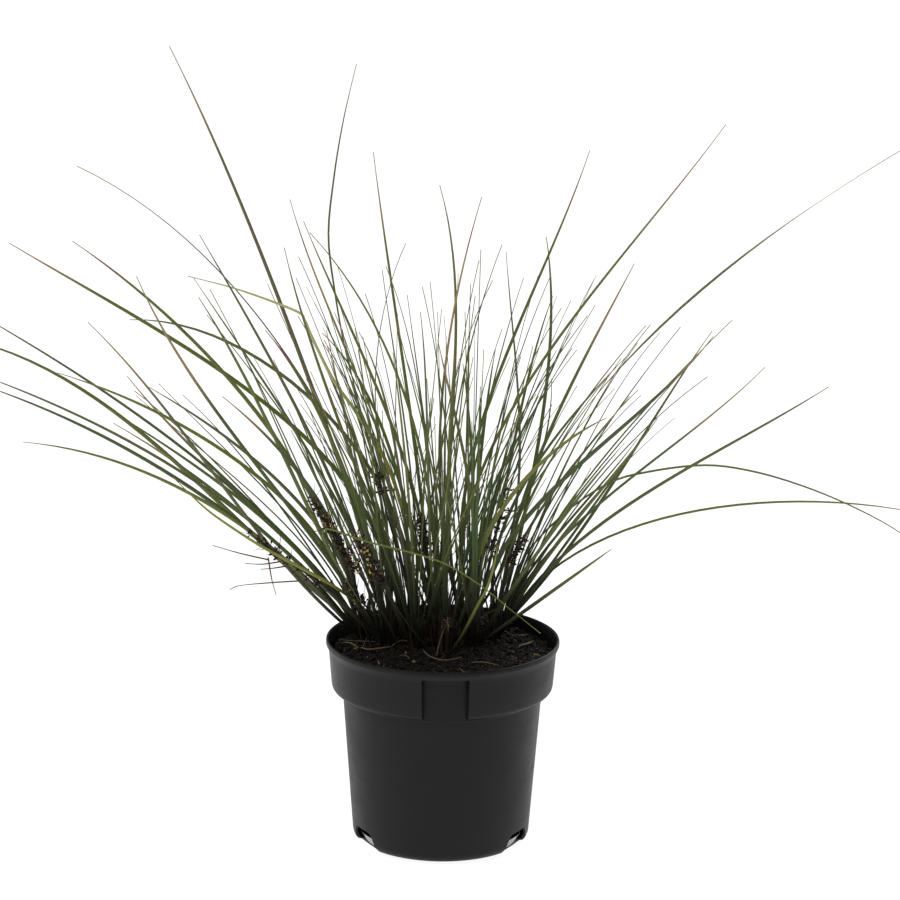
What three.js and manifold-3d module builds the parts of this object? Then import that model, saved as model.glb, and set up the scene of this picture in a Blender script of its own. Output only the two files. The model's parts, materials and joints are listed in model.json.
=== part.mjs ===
// Potted lomandra: a tussock of long narrow leaves with flower spikes, in a round nursery pot.
// Millimetres, +Z up. The origin is the centre of the pot's base, and the plant's front faces -Y.
import * as THREE from "three";
import { mergeVertices } from "three/addons/utils/BufferGeometryUtils.js";
import Module from "manifold-3d";

const wasm = await Module();
wasm.setup();
const { Vector2, Vector3 } = THREE;

// Pot
const baseRadius = 46; // flat ring that stands on the ground
const bodyFootRadius = 53.5; // body just above the rounded bottom edge
const bodyTopRadius = 59.95; // body just under the band
const bandFootRadius = 66.8;
const bandTopRadius = 68.6;
const lipRadius = 70.2; // widest, 140 mm across
const bodyTop = 92;
const bandFoot = 97.6;
const lipFoot = 122.4;
const potHeight = 125.5;
const wall = 1.3;
const floorThickness = 1.6;
const potSegments = 36;

// Label recess in the band, angles in degrees from the front towards +X
const recess = { from: -10, to: 13.5, low: 89.5, high: 120, panelRadius: 62.5 };
const recessSide = 1.2; // degrees that its side walls take up

// Drainage notches in the bottom edge: an arch in the wall over a sloping plate
const notchAngles = [-61, 61, 180];
const notch = { footHalf: 14.5, topHalf: 9, height: 12.4, plateTop: 7.4, plateRadius: 50.3 };

// Potting mix
const seat = 0.3; // clearance between pieces that rest in or on each other
const soilLevel = 116.6;
const soilMound = 1.4; // the middle stands this much higher than the edge
const soilRelief = 0.95;
const soilRings = 6;
const soilSegments = 26;

// Shoots: a stub in the mix and a fan of leaves, each leaf three-sided with its keel below
const stub = { long: 6.2, wide: 4.4, bottom: 107, shoulder: 121, top: 127 };
const leafRootHeight = 120;
const rootSpread = 0.62; // share of the stub's half widths at which the outer leaves root
const leafWidth = { narrow: 1.9, wide: 2.9, tip: 0.7 };
const leafThickness = { root: 1.0, tip: 0.65 };
const crownCentre = [-9, 22];
const crownReach = 42; // from there to its outer shoots
const leafClearance = 3.1; // between the middles of leaves of two shoots
const stubClearance = 8.2; // from a shoot's middle to a neighbour's leaf
const rimClearance = { radius: 64, height: 128.5 };

// Flower spikes
const stalkThickness = 1.7;
const stalkFoot = 108;
const whorlStep = 7;
const flowerSize = 1.9;
const flowerOffset = 1.35; // from the stalk's middle
const headClearance = 7.2;

// Each shoot's place on the crown, how many further leaves it grows, and its leaves that are seen
// one by one: tip x, y, z, then the degrees of lift above its chord at the root and nod at the tip.
const shoots = [
  { at: [-47, 16], more: 5, leaves: [
    [-130, -30, 280, 30, 20], [-205, -60, 330, -10, 5], [-230, 5, 285, 40, 25], [-200, 0, 265, 20, 10],
    [-275, -20, 290, 20, 15], [-270, -40, 288, 15, 15], [-245, -45, 255, 20, 25], [-160, -10, 230, 40, -20],
  ] },
  { at: [-33, 6], more: 6, leaves: [
    [-180, -40, 350, 5, -10], [-145, -20, 335, -5, 5], [-140, -60, 290, 15, 15], [-195, -50, 260, 5, 10],
  ] },
  { at: [-16, 0], more: 8, leaves: [
    [-105, -30, 320, 0, 15], [-70, -55, 320, 20, 15], [-30, -85, 320, 15, 10],
  ] },
  { at: [2, -4], more: 7, leaves: [
    [-5, -5, 310, 35, 10], [5, -25, 305, 10, 20], [30, -45, 195, -20, -15],
  ] },
  { at: [18, 6], more: 6, leaves: [
    [155, -20, 320, 40, 0], [95, -10, 265, 50, 35], [100, -10, 185, 0, 0], [20, -60, 295, 0, 0],
    [105, -30, 255, 5, 5], [85, -50, 245, 5, -5],
  ] },
  { at: [30, 22], more: 6, leaves: [
    [190, 20, 290, 25, 0], [230, 35, 275, 25, 5], [290, 0, 205, 50, 30], [110, 25, 270, 30, 10],
    [125, -10, 265, 10, 0], [120, 0, 255, 0, 0],
  ] },
  { at: [32, 40], more: 6, leaves: [
    [60, 85, 355, -15, -30], [285, 55, 425, 40, 20], [115, 105, 335, 25, 10], [160, 50, 305, -10, 0],
    [290, -60, 190, 75, 45], [110, 50, 290, 45, 20], [115, 20, 245, 15, 0],
  ] },
  { at: [17, 53], more: 9, leaves: [[85, 75, 410, 35, 5], [65, 100, 315, -5, 10]] },
  { at: [0, 54], more: 10, leaves: [[-25, 60, 355, -30, -30]] },
  { at: [-17, 53], more: 8, leaves: [[-225, 85, 395, 20, 30], [-190, 40, 310, 50, 50]] },
  { at: [-32, 47], more: 8, leaves: [[-265, 70, 350, 55, 15]] },
  { at: [-46, 33], more: 5, leaves: [
    [-225, 50, 355, 25, 20], [-190, 20, 280, 10, -5], [-285, 40, 315, 15, 10], [-180, 55, 265, 35, 20],
    [-290, 10, 305, 0, 25], [-245, 60, 245, 5, 20],
  ] },
  { at: [-31, 24], more: 7, leaves: [[-145, 0, 370, 10, 5], [-150, 20, 340, 15, 5]] },
  { at: [-17, 18], more: 7, leaves: [
    [-95, -10, 365, 5, -5], [-95, 25, 380, 30, 0], [-50, -55, 325, 15, 25],
  ] },
  { at: [0, 14], more: 6, leaves: [
    [-80, -15, 375, 20, 25], [-75, 55, 300, 5, 30], [-15, -45, 335, -25, 10], [0, -25, 315, 5, 5],
  ] },
  { at: [14, 24], more: 6, leaves: [
    [-5, 35, 395, -15, 15], [20, 25, 390, 20, 15], [165, 55, 430, 45, 10], [10, 20, 290, 10, 10],
  ] },
  { at: [12, 39], more: 7, leaves: [
    [35, 35, 355, -35, -10], [30, 85, 285, 0, 10], [65, 85, 265, -10, -30],
  ] },
  { at: [-5, 33], more: 7, leaves: [
    [-55, 45, 465, -15, -25], [-45, 60, 410, 5, 0], [-85, 20, 375, 20, 5],
  ] },
  { at: [-21, 36], more: 7, leaves: [
    [-165, 40, 475, 0, 5], [-155, 20, 340, 40, 70], [-90, 60, 310, 5, 15],
  ] },
];

// One leaf of the second shoot is folded over and hangs across the front to a cut end.
const foldedLeaf = { shoot: 1, points: [
  [-34, 4, 120], [-48, -18, 150], [-71, -50, 204], [-44, -62, 202],
  [-4, -64, 192], [20, -56, 176], [39, -43, 157], [54, -30, 140],
] };

// Flower spikes: foot, tip, lift and nod as on a leaf, and the length of the flowering head.
const spikes = [
  { foot: [-25, -9], tip: [-76, -50, 223], lift: 8, nod: 0, head: 58 },
  { foot: [-6, -13], tip: [-51, -50, 203], lift: -10, nod: -5, head: 42 },
  { foot: [-24, 17], tip: [-57, -12, 164], lift: -5, nod: -15, head: 22 },
  { foot: [-8, 8], tip: [-14, -8, 202], lift: 8, nod: 18, head: 28 },
  { foot: [-11, 27], tip: [-41, -9, 239], lift: 0, nod: -10, head: 34 },
  { foot: [23, 15], tip: [39, 12, 217], lift: 30, nod: 0, head: 44 },
  { foot: [29, 8], tip: [48, 3, 187], lift: 5, nod: 25, head: 20 },
  { foot: [-43, 3], tip: [-116, -25, 198], lift: 28, nod: 0, head: 66 },
];

// Bits of dry leaf on the mix, each through three points.
const litter = [
  [[-61, 9], [-55, 6], [-50, -1]],
  [[-49, -5], [-38, -11], [-25, -17]],
  [[24, -26], [31, -28], [39, -27]],
  [[-13, -21], [-3, -32], [12, -25]],
  [[46, 2], [52, 8], [55, 18]],
  [[42, 30], [47, 26], [52, 30]],
];
const litterWidth = 1.8;
const litterThickness = 0.8;
const litterArch = 1.2;

const finish = (color, roughness) => new THREE.MeshStandardMaterial({ color, roughness, metalness: 0 });
const potPlastic = finish(0x2a2b2c, 0.5);
const barkMix = finish(0x1d1611, 0.95);
const leafGreen = finish(0x3c4a24, 0.6);
const spikeBrown = finish(0x2c2114, 0.8);
const dryStraw = finish(0x9a8560, 0.85);

// Seeded random numbers, so that the plant grows the same way every time
let seed = 20417;
function random() {
  seed = (seed * 48271) % 2147483647;
  return seed / 2147483647;
}
const between = (low, high) => low + (high - low) * random();

const { degToRad: radians, lerp } = THREE.MathUtils;
const point = (list) => new Vector3(...list);

// A closed solid from a three.js geometry
function solidOf(geometry) {
  geometry.deleteAttribute("normal");
  geometry.deleteAttribute("uv");
  const merged = mergeVertices(geometry, 1e-4);
  const index = merged.index.array;
  const triVerts = [];
  for (let i = 0; i < index.length; i += 3) {
    const [a, b, c] = [index[i], index[i + 1], index[i + 2]];
    if (a !== b && b !== c && c !== a) triVerts.push(a, b, c);
  }
  return new wasm.Manifold(new wasm.Mesh({
    numProp: 3,
    vertProperties: new Float32Array(merged.attributes.position.array),
    triVerts: new Uint32Array(triVerts),
  }));
}

function meshOf(name, solid, material) {
  const { vertProperties, triVerts } = solid.getMesh();
  const geometry = new THREE.BufferGeometry();
  geometry.setAttribute("position", new THREE.BufferAttribute(vertProperties, 3));
  geometry.setIndex(new THREE.BufferAttribute(triVerts, 1));
  geometry.computeVertexNormals();
  const mesh = new THREE.Mesh(geometry, material);
  mesh.name = name;
  return mesh;
}

// A skin through rings of equally many points, closed at both ends
function loft(rings) {
  const sides = rings[0].length;
  const positions = rings.flat().flatMap((p) => [p.x, p.y, p.z]);
  const index = [];
  for (let r = 0; r + 1 < rings.length; r++) {
    for (let s = 0; s < sides; s++) {
      const a = r * sides + s;
      const b = r * sides + ((s + 1) % sides);
      index.push(a, b, b + sides, a, b + sides, a + sides);
    }
  }
  const last = (rings.length - 1) * sides;
  for (let s = 1; s + 1 < sides; s++) {
    index.push(0, s + 1, s, last, last + s, last + s + 1);
  }
  const geometry = new THREE.BufferGeometry();
  geometry.setAttribute("position", new THREE.Float32BufferAttribute(positions, 3));
  geometry.setIndex(index);
  return geometry;
}

function ellipseRing(x, y, z, long, wide, turn, sides = 6) {
  return Array.from({ length: sides }, (_, i) => {
    const angle = (2 * Math.PI * i) / sides;
    const onEllipse = new Vector2(long * Math.cos(angle), wide * Math.sin(angle));
    onEllipse.rotateAround(new Vector2(), turn);
    return new Vector3(x + onEllipse.x, y + onEllipse.y, z);
  });
}

// A block that fills part of a ring, its angles counted from the front towards +X
function ringBlock({ inner, outer, from, to, low, high }) {
  const shape = new THREE.Shape();
  const start = radians(from - 90);
  const end = radians(to - 90);
  shape.absarc(0, 0, outer, start, end, false);
  shape.absarc(0, 0, inner, end, start, true);
  const geometry = new THREE.ExtrudeGeometry(shape, {
    depth: high - low, bevelEnabled: false, curveSegments: 6,
  });
  return solidOf(geometry.translate(0, 0, low));
}

function turned(profile, segments) {
  const points = profile.map(([radius, height]) => new Vector2(radius, height));
  return solidOf(new THREE.LatheGeometry(points, segments).rotateX(Math.PI / 2));
}

function potSolid() {
  const outside = [
    [0, 0], [baseRadius, 0], [51.2, 1.8], [bodyFootRadius, 6.5],
    [bodyTopRadius, bodyTop], [63.6, 94.2], [65.6, 95.2], [bandFootRadius, bandFoot],
    [bandTopRadius, lipFoot - 2.8], [lipRadius, lipFoot], [lipRadius, potHeight - 0.9], [69.3, potHeight],
  ];
  const inside = [
    [bandTopRadius - wall + 0.2, potHeight], [bandTopRadius - wall - 0.2, lipFoot - 3],
    [bandFootRadius - wall, bandFoot + 0.8], [62.9, 95.3], [bodyTopRadius - wall, bodyTop + 0.8],
    [bodyFootRadius - wall, 7.2], [50.4, 3],
    [baseRadius - 0.6, floorThickness], [0, floorThickness],
  ];
  let pot = turned([...outside, ...inside], potSegments);
  const filled = turned([...outside, [0, potHeight]], potSegments);
  pot = pot.add(filled.intersect(ringBlock({
    inner: recess.panelRadius - wall, outer: bandFootRadius - 0.6, from: recess.from - recessSide,
    to: recess.to + recessSide, low: bodyTop, high: recess.high + wall,
  })));
  pot = pot.subtract(ringBlock({ ...recess, inner: recess.panelRadius, outer: lipRadius + 10 }));
  for (const angle of notchAngles) {
    pot = pot.subtract(notchArch(angle));
    pot = pot.add(notchPlate(angle));
  }
  return pot;
}

// The arch that a drainage notch cuts in the wall
function notchArch(angle) {
  const { footHalf, topHalf, height } = notch;
  const shape = new THREE.Shape([
    new Vector2(-footHalf, -1), new Vector2(footHalf, -1), new Vector2(topHalf, height - 1),
    new Vector2(topHalf - 2, height), new Vector2(2 - topHalf, height), new Vector2(-topHalf, height - 1),
  ]);
  const geometry = new THREE.ExtrudeGeometry(shape, { depth: 14, bevelEnabled: false });
  geometry.rotateX(Math.PI / 2).translate(0, -baseRadius - 0.8, 0).rotateZ(radians(angle));
  return solidOf(geometry);
}

// The plate that slopes up from the floor's edge behind a notch
function notchPlate(angle) {
  const steps = 5;
  const halfAngle = radians(19);
  const rings = Array.from({ length: steps + 1 }, (_, i) => {
    const turn = radians(angle - 90) + halfAngle * (-1 + (2 * i) / steps);
    const corner = (radius, z) => new Vector3(radius * Math.cos(turn), radius * Math.sin(turn), z);
    return [
      corner(baseRadius, 0), corner(baseRadius - 1.6, 1.2),
      corner(notch.plateRadius - 1.3, notch.plateTop + 0.3), corner(notch.plateRadius, notch.plateTop),
    ];
  });
  return solidOf(loft(rings));
}

// Height of the bark mix: a low mound with chunky relief
function soilHeight(x, y) {
  const spread = Math.min(1, Math.hypot(x, y) / 66);
  const across = Math.sin(0.55 * x + 1.3) * Math.cos(0.48 * y - 0.6);
  const chunks = across + 0.6 * Math.sin(0.31 * x - 0.37 * y + 2);
  return soilLevel + soilMound * (1 - spread * spread) + soilRelief * chunks;
}

function soilSolid(holes) {
  const edge = bandTopRadius - wall - 0.6;
  const profile = [
    [0, floorThickness + seat], [baseRadius - 2.2, floorThickness + seat], [49.3, 10.2],
    [bodyFootRadius - wall - seat, 13.5], [bodyTopRadius - wall - seat - 0.3, bodyTop],
    [58.2, 93.3], [62.4, 95.8], [bandFootRadius - wall - seat - 0.3, bandFoot + 2.4],
    [edge - 0.5, soilLevel - 3], [edge - 0.4, soilLevel],
  ];
  for (let ring = soilRings - 1; ring >= 0; ring--) {
    profile.push([(62.5 * ring) / (soilRings - 1), soilLevel]);
  }
  const points = profile.map(([radius, height]) => new Vector2(radius, height));
  const geometry = new THREE.LatheGeometry(points, soilSegments).rotateX(Math.PI / 2);
  const position = geometry.attributes.position;
  for (let i = 0; i < position.count; i++) {
    if (Math.abs(position.getZ(i) - soilLevel) > 1e-3) continue;
    position.setZ(i, soilHeight(position.getX(i), position.getY(i)));
  }
  let soil = solidOf(geometry);
  soil = soil.subtract(ringBlock({
    inner: recess.panelRadius - wall - 0.4, outer: lipRadius + 10, from: recess.from - recessSide - 1,
    to: recess.to + recessSide + 1, low: 87, high: soilLevel + 10,
  }));
  for (const hole of holes) soil = soil.subtract(hole);
  return soil;
}

// Straight steps along a leaf, by the degrees that it bends in all
function leafSteps(bend) {
  if (bend < 23) return 3;
  return bend < 44 ? 4 : 5;
}

// A leaf's line: it leaves the crown above its chord by the lift and comes to its tip with the nod.
function leafLine(root, tip, lift, nod) {
  const chord = tip.clone().sub(root);
  const third = chord.length() / 3;
  const along = chord.normalize();
  const rise = new Vector3(0, 0, 1).addScaledVector(along, -along.z).normalize();
  const handle = (end, angle, way) => end.clone()
    .addScaledVector(along, way * third * Math.cos(radians(angle)))
    .addScaledVector(rise, third * Math.sin(radians(angle)));
  const curve = new THREE.CubicBezierCurve3(root, handle(root, lift, 1), handle(tip, nod, -1), tip);
  return curve.getPoints(leafSteps(Math.abs(lift) + Math.abs(nod)));
}

// A blade along a line of points
function bladeSolid(line, width, roll) {
  const lean = line[line.length - 1].clone().sub(line[0]).setZ(0);
  const across = new Vector3(-lean.y, lean.x, 0).normalize();
  const rings = line.map((middle, i) => {
    const share = i / (line.length - 1);
    const [before, after] = [line[Math.max(i - 1, 0)], line[Math.min(i + 1, line.length - 1)]];
    const tangent = after.clone().sub(before).normalize();
    const flat = across.clone().addScaledVector(tangent, -across.dot(tangent)).normalize();
    const up = new Vector3().crossVectors(tangent, flat);
    const side = flat.clone().multiplyScalar(Math.cos(roll)).addScaledVector(up, Math.sin(roll));
    const face = up.multiplyScalar(Math.cos(roll)).addScaledVector(flat, -Math.sin(roll));
    const half = lerp(width, leafWidth.tip, share ** 2.2) * (i === 0 ? 0.35 : 0.5);
    const keel = lerp(leafThickness.root, leafThickness.tip, share);
    return [
      middle.clone().addScaledVector(side, -half), middle.clone().addScaledVector(face, -keel),
      middle.clone().addScaledVector(side, half),
    ];
  });
  return solidOf(loft(rings));
}

// The shortest way between two straight pieces, p to q and r to s
function pieceGap(p, q, r, s) {
  const u = q.clone().sub(p);
  const v = s.clone().sub(r);
  const w = p.clone().sub(r);
  const [a, b, c, d, e] = [u.dot(u), u.dot(v), v.dot(v), u.dot(w), v.dot(w)];
  const clamp = (x) => Math.min(1, Math.max(0, x));
  const bottom = a * c - b * b;
  let m = bottom > 1e-9 ? clamp((b * e - c * d) / bottom) : 0;
  const n = clamp((b * m + e) / c);
  m = clamp((b * n - d) / a);
  return w.addScaledVector(u, m).addScaledVector(v, -n).length();
}

// Everything that a leaf has to keep clear of: lines with an owner and a clearance
const grown = [];

function isClear(line, owner) {
  for (let i = 0; i + 1 < line.length; i++) {
    for (let share = 0; share < 1; share += 0.1) {
      const p = line[i].clone().lerp(line[i + 1], share);
      if (Math.hypot(p.x, p.y) > rimClearance.radius && p.z < rimClearance.height) return false;
    }
  }
  for (const other of grown) {
    if (other.owner === owner) continue;
    for (let i = 0; i + 1 < line.length; i++) {
      for (let j = 0; j + 1 < other.line.length; j++) {
        const gap = pieceGap(line[i], line[i + 1], other.line[j], other.line[j + 1]);
        if (gap < other.clearance) return false;
      }
    }
  }
  return true;
}

// The point that lies this far back along a line from its end
function backFromTip(line, distance) {
  let left = distance;
  for (let i = line.length - 1; i > 0; i--) {
    const step = line[i].distanceTo(line[i - 1]);
    if (left <= step) return line[i].clone().lerp(line[i - 1], left / step);
    left -= step;
  }
  return line[0].clone();
}

const grow = (line, owner, clearance) => grown.push({ line, owner, clearance });

// Leaves root side by side in the stub, on the side that they lean to.
function rootOf(shoot, tip) {
  const way = new Vector2(tip.x - shoot.at[0], tip.y - shoot.at[1]);
  const share = rootSpread * Math.min(1, way.length() / 90);
  const angle = way.angle() - shoot.turn;
  const root = new Vector2(stub.long * Math.cos(angle), stub.wide * Math.sin(angle));
  root.multiplyScalar(share).rotateAround(new Vector2(), shoot.turn);
  return new Vector3(shoot.at[0] + root.x, shoot.at[1] + root.y, leafRootHeight);
}

// A listed leaf, its tip moved in depth only as far as it takes to clear its neighbours
function seenLeaf(shoot, owner, [x, y, z, lift, nod]) {
  for (let tries = 0; tries < 40; tries++) {
    const shift = Math.ceil(tries / 2) * 3 * (tries % 2 ? 1 : -1);
    const tip = new Vector3(x, y + shift, z);
    const line = leafLine(rootOf(shoot, tip), tip, lift, nod);
    if (isClear(line, owner)) return line;
  }
  return null;
}

// A further leaf, drawn again until it is clear of the other shoots
function drawnLeaf(shoot, owner) {
  const [dx, dy] = [shoot.at[0] - crownCentre[0], shoot.at[1] - crownCentre[1]];
  const spread = Math.min(1, Math.hypot(dx, dy) / crownReach);
  for (let tries = 0; tries < 60; tries++) {
    const turn = Math.atan2(dy, dx) + between(-1, 1) * (3 - 2 * spread);
    const lean = radians(6 + 34 * spread * random() + 12 * random());
    const length = between(150, 270);
    const tip = new Vector3(
      shoot.at[0] + length * Math.sin(lean) * Math.cos(turn),
      shoot.at[1] + length * Math.sin(lean) * Math.sin(turn),
      leafRootHeight + length * Math.cos(lean),
    );
    const line = leafLine(rootOf(shoot, tip), tip, between(2, 22), between(0, 22));
    if (isClear(line, owner)) return line;
  }
  return null;
}

// Spikes first, then the folded leaf and the stubs, so that the leaves grow round them
const spikeLines = spikes.map((spike, i) => {
  const [x, y] = spike.foot;
  const line = leafLine(new Vector3(x, y, soilLevel + 2.6), point(spike.tip), spike.lift, spike.nod);
  const head = [backFromTip(line, spike.head), backFromTip(line, spike.head / 2), point(spike.tip)];
  grow([new Vector3(x, y, stalkFoot), ...line], `spike ${i}`, leafClearance);
  grow(head, `spike ${i}`, headClearance);
  return line;
});

shoots.forEach((shoot, i) => {
  shoot.turn = random() * Math.PI;
  shoot.blades = [];
  const [x, y] = shoot.at;
  grow([new Vector3(x, y, stub.bottom), new Vector3(x, y, stub.shoulder)], i, stubClearance);
});

function addBlade(shoot, owner, line) {
  if (!line) return;
  grow(line, owner, leafClearance);
  shoot.blades.push({ line, width: between(leafWidth.narrow, leafWidth.wide), roll: between(-1, 1) });
}

const folded = foldedLeaf.points.map(point);
addBlade(shoots[foldedLeaf.shoot], foldedLeaf.shoot, folded);
shoots.forEach((shoot, i) => {
  for (const leaf of shoot.leaves) addBlade(shoot, i, seenLeaf(shoot, i, leaf));
});
const mostMore = Math.max(...shoots.map((shoot) => shoot.more));
for (let round = 0; round < mostMore; round++) {
  shoots.forEach((shoot, i) => {
    if (round < shoot.more) addBlade(shoot, i, drawnLeaf(shoot, i));
  });
}

function shootSolid({ at: [x, y], turn, blades }) {
  const { long, wide, bottom, shoulder, top } = stub;
  let solid = solidOf(loft([
    ellipseRing(x, y, bottom, long, wide, turn), ellipseRing(x, y, shoulder, long, wide, turn),
    ellipseRing(x, y, top, long * 0.5, wide * 0.5, turn),
  ]));
  for (const blade of blades) solid = solid.add(bladeSolid(blade.line, blade.width, blade.roll));
  return largestBody(solid);
}

// Blades that cross can close off a speck of air between them: only the outer body is kept.
function largestBody(solid) {
  const bodies = solid.decompose();
  return bodies.reduce((best, body) => (body.volume() > best.volume() ? body : best));
}

// A plain hole in the mix for a shoot or a stalk
function hole(x, y, bottom, long, wide, turn) {
  const rings = [bottom, potHeight + 10].map((z) => ellipseRing(x, y, z, long, wide, turn));
  return solidOf(loft(rings));
}

function shootHole({ at: [x, y], turn }) {
  return hole(x, y, stub.bottom - seat, stub.long + 0.4, stub.wide + 0.4, turn);
}

function spikeHole({ foot: [x, y] }) {
  const radius = stalkThickness / 2 + 0.45;
  return hole(x, y, stalkFoot - seat, radius, radius, 0);
}

function spikeSolid({ foot: [x, y], head }, line) {
  const half = stalkThickness / 2;
  const middles = [new Vector3(x, y, stalkFoot), ...line];
  let solid = solidOf(loft(middles.map((p) => ellipseRing(p.x, p.y, p.z, half, half, 0, 4))));
  const whorls = Math.floor(head / whorlStep);
  for (let w = 0; w < whorls; w++) {
    const middle = backFromTip(line, w * whorlStep + 2);
    const along = middle.clone().sub(backFromTip(line, w * whorlStep + 4)).normalize();
    const side = new Vector3(0, 1, 0).cross(along).normalize();
    for (let k = 0; k < 2; k++) {
      const out = side.clone().applyAxisAngle(along, w * 1.9 + k * Math.PI);
      const centre = middle.clone().addScaledVector(out, flowerOffset).addScaledVector(along, k);
      const flower = new THREE.OctahedronGeometry(flowerSize + 0.3 * Math.sin(5 * w + k));
      solid = solid.add(solidOf(flower.translate(centre.x, centre.y, centre.z)));
    }
  }
  return solid;
}

// A curled bit of dry leaf, lowered on to the mix as far as it goes
function litterSolid(points, soil) {
  const arched = points.map(([x, y], i) => new Vector3(x, y, i === 1 ? litterArch : 0));
  const last = 4;
  const line = new THREE.CatmullRomCurve3(arched).getPoints(last);
  const shapeAt = (height) => {
    const rings = line.map((p, i) => {
      const way = line[Math.min(i + 1, last)].clone().sub(line[Math.max(i - 1, 0)]).setZ(0).normalize();
      const half = (litterWidth / 2) * (i === 0 || i === last ? 0.5 : 1);
      const side = new Vector3(-way.y, way.x, 0).multiplyScalar(half);
      const low = p.clone().setZ(p.z + height);
      const high = low.clone().setZ(low.z + litterThickness);
      return [low.clone().sub(side), low.clone().add(side), high.clone().add(side), high.clone().sub(side)];
    });
    return solidOf(loft(rings));
  };
  let height = soilLevel - 3;
  while (!shapeAt(height).intersect(soil).isEmpty()) height += 0.2;
  return shapeAt(height + seat);
}

const plant = new THREE.Group();
const number = (i) => String(i + 1).padStart(2, "0");
plant.add(meshOf("pot", potSolid(), potPlastic));
const soil = soilSolid([...shoots.map(shootHole), ...spikes.map(spikeHole)]);
plant.add(meshOf("potting_mix", soil, barkMix));
shoots.forEach((shoot, i) => plant.add(meshOf(`leaf_tuft_${number(i)}`, shootSolid(shoot), leafGreen)));
spikes.forEach((spike, i) => {
  plant.add(meshOf(`flower_spike_${i + 1}`, spikeSolid(spike, spikeLines[i]), spikeBrown));
});
litter.forEach((points, i) => plant.add(meshOf(`dry_leaf_${i + 1}`, litterSolid(points, soil), dryStraw)));

export default plant;
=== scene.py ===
import json
import bmesh
import bpy
import numpy as np
from math import atan2, ceil, cos, degrees, hypot, pi, radians, sin, sqrt
from mathutils import Matrix, Vector
from numpy.linalg import norm

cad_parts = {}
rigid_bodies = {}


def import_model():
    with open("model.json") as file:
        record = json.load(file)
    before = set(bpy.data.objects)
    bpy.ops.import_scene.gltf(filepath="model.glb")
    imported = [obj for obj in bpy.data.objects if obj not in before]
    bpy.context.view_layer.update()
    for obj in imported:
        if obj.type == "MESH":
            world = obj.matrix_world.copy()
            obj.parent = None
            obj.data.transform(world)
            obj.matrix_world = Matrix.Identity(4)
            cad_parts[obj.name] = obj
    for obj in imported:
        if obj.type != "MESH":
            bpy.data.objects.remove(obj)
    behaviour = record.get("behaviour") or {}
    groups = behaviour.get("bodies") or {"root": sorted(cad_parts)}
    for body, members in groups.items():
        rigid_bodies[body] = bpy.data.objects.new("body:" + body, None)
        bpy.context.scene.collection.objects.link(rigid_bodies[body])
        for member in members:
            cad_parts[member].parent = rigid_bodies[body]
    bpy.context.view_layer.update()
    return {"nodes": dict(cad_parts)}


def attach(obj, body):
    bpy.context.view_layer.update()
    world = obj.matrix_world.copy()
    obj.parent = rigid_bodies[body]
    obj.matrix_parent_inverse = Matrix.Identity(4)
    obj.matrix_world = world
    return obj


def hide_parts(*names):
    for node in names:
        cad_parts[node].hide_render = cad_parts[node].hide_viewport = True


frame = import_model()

# Potted lomandra: fine leaves, flower spikes, bark mix and pot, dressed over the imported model.
# Settings are in millimetres, meshes in metres.
mm = 0.001
scene = bpy.context.scene
print("frame:", len(frame["nodes"]), "nodes")


class Value:  # a node's socket that can stand in a sum with numbers and other sockets
    def __init__(self, kit, socket):
        self.kit, self.socket = kit, socket

    def maths(self, operation, *terms):
        return self.kit.node("Math", dict(enumerate(terms)), operation=operation)

    def __add__(self, other): return self.maths("ADD", self, other)
    def __radd__(self, other): return self.maths("ADD", other, self)
    def __sub__(self, other): return self.maths("SUBTRACT", self, other)
    def __rsub__(self, other): return self.maths("SUBTRACT", other, self)
    def __mul__(self, other): return self.maths("MULTIPLY", self, other)
    def __rmul__(self, other): return self.maths("MULTIPLY", other, self)
    def above(self, other): return self.maths("GREATER_THAN", self, other)
    def size(self): return self.maths("ABSOLUTE", self)
    def wave(self): return self.maths("SINE", self)
    def other(self, name): return Value(self.kit, self.socket.node.outputs[name])  # of the same node

    def eased(self, low, high, toLow=0.0, toHigh=1.0):  # smooth step from low to high
        return self.kit.node("MapRange", {"Value": self, "From Min": low, "From Max": high, "To Min": toLow,
                                          "To Max": toHigh}, interpolation_type="SMOOTHSTEP")


class Kit:  # makes the nodes of one tree
    families = ("ShaderNode", "GeometryNode", "FunctionNode", "")

    def __init__(self, tree):
        self.tree = tree

    def node(self, kind, inputs=None, out=0, **settings):
        made = self.tree.nodes.new(next(f + kind for f in self.families if hasattr(bpy.types, f + kind)))
        for key, value in settings.items():
            setattr(made, key, value)
        for key, value in (inputs or {}).items():
            self.plug(made.inputs[key], value)
        return Value(self, made.outputs[out]) if made.outputs else None

    def plug(self, socket, value):
        if isinstance(value, Value):
            self.tree.links.new(value.socket, socket)
        else:
            socket.default_value = value

    def mix(self, share, first, second):  # of two colours
        first, second = [c if isinstance(c, Value) else (*c, 1) for c in (first, second)]
        return self.node("Mix", {0: share, 6: first, 7: second}, 2, data_type="RGBA")

    def over(self, color, *layers):  # each layer is its share and its colour
        for share, layer in layers:
            color = self.mix(share, color, layer)
        return color

    def vector(self, x, y, z):
        return self.node("CombineXYZ", {0: x, 1: y, 2: z})

    def part(self, vector, axis):
        return self.node("SeparateXYZ", {0: vector}, axis)


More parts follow.
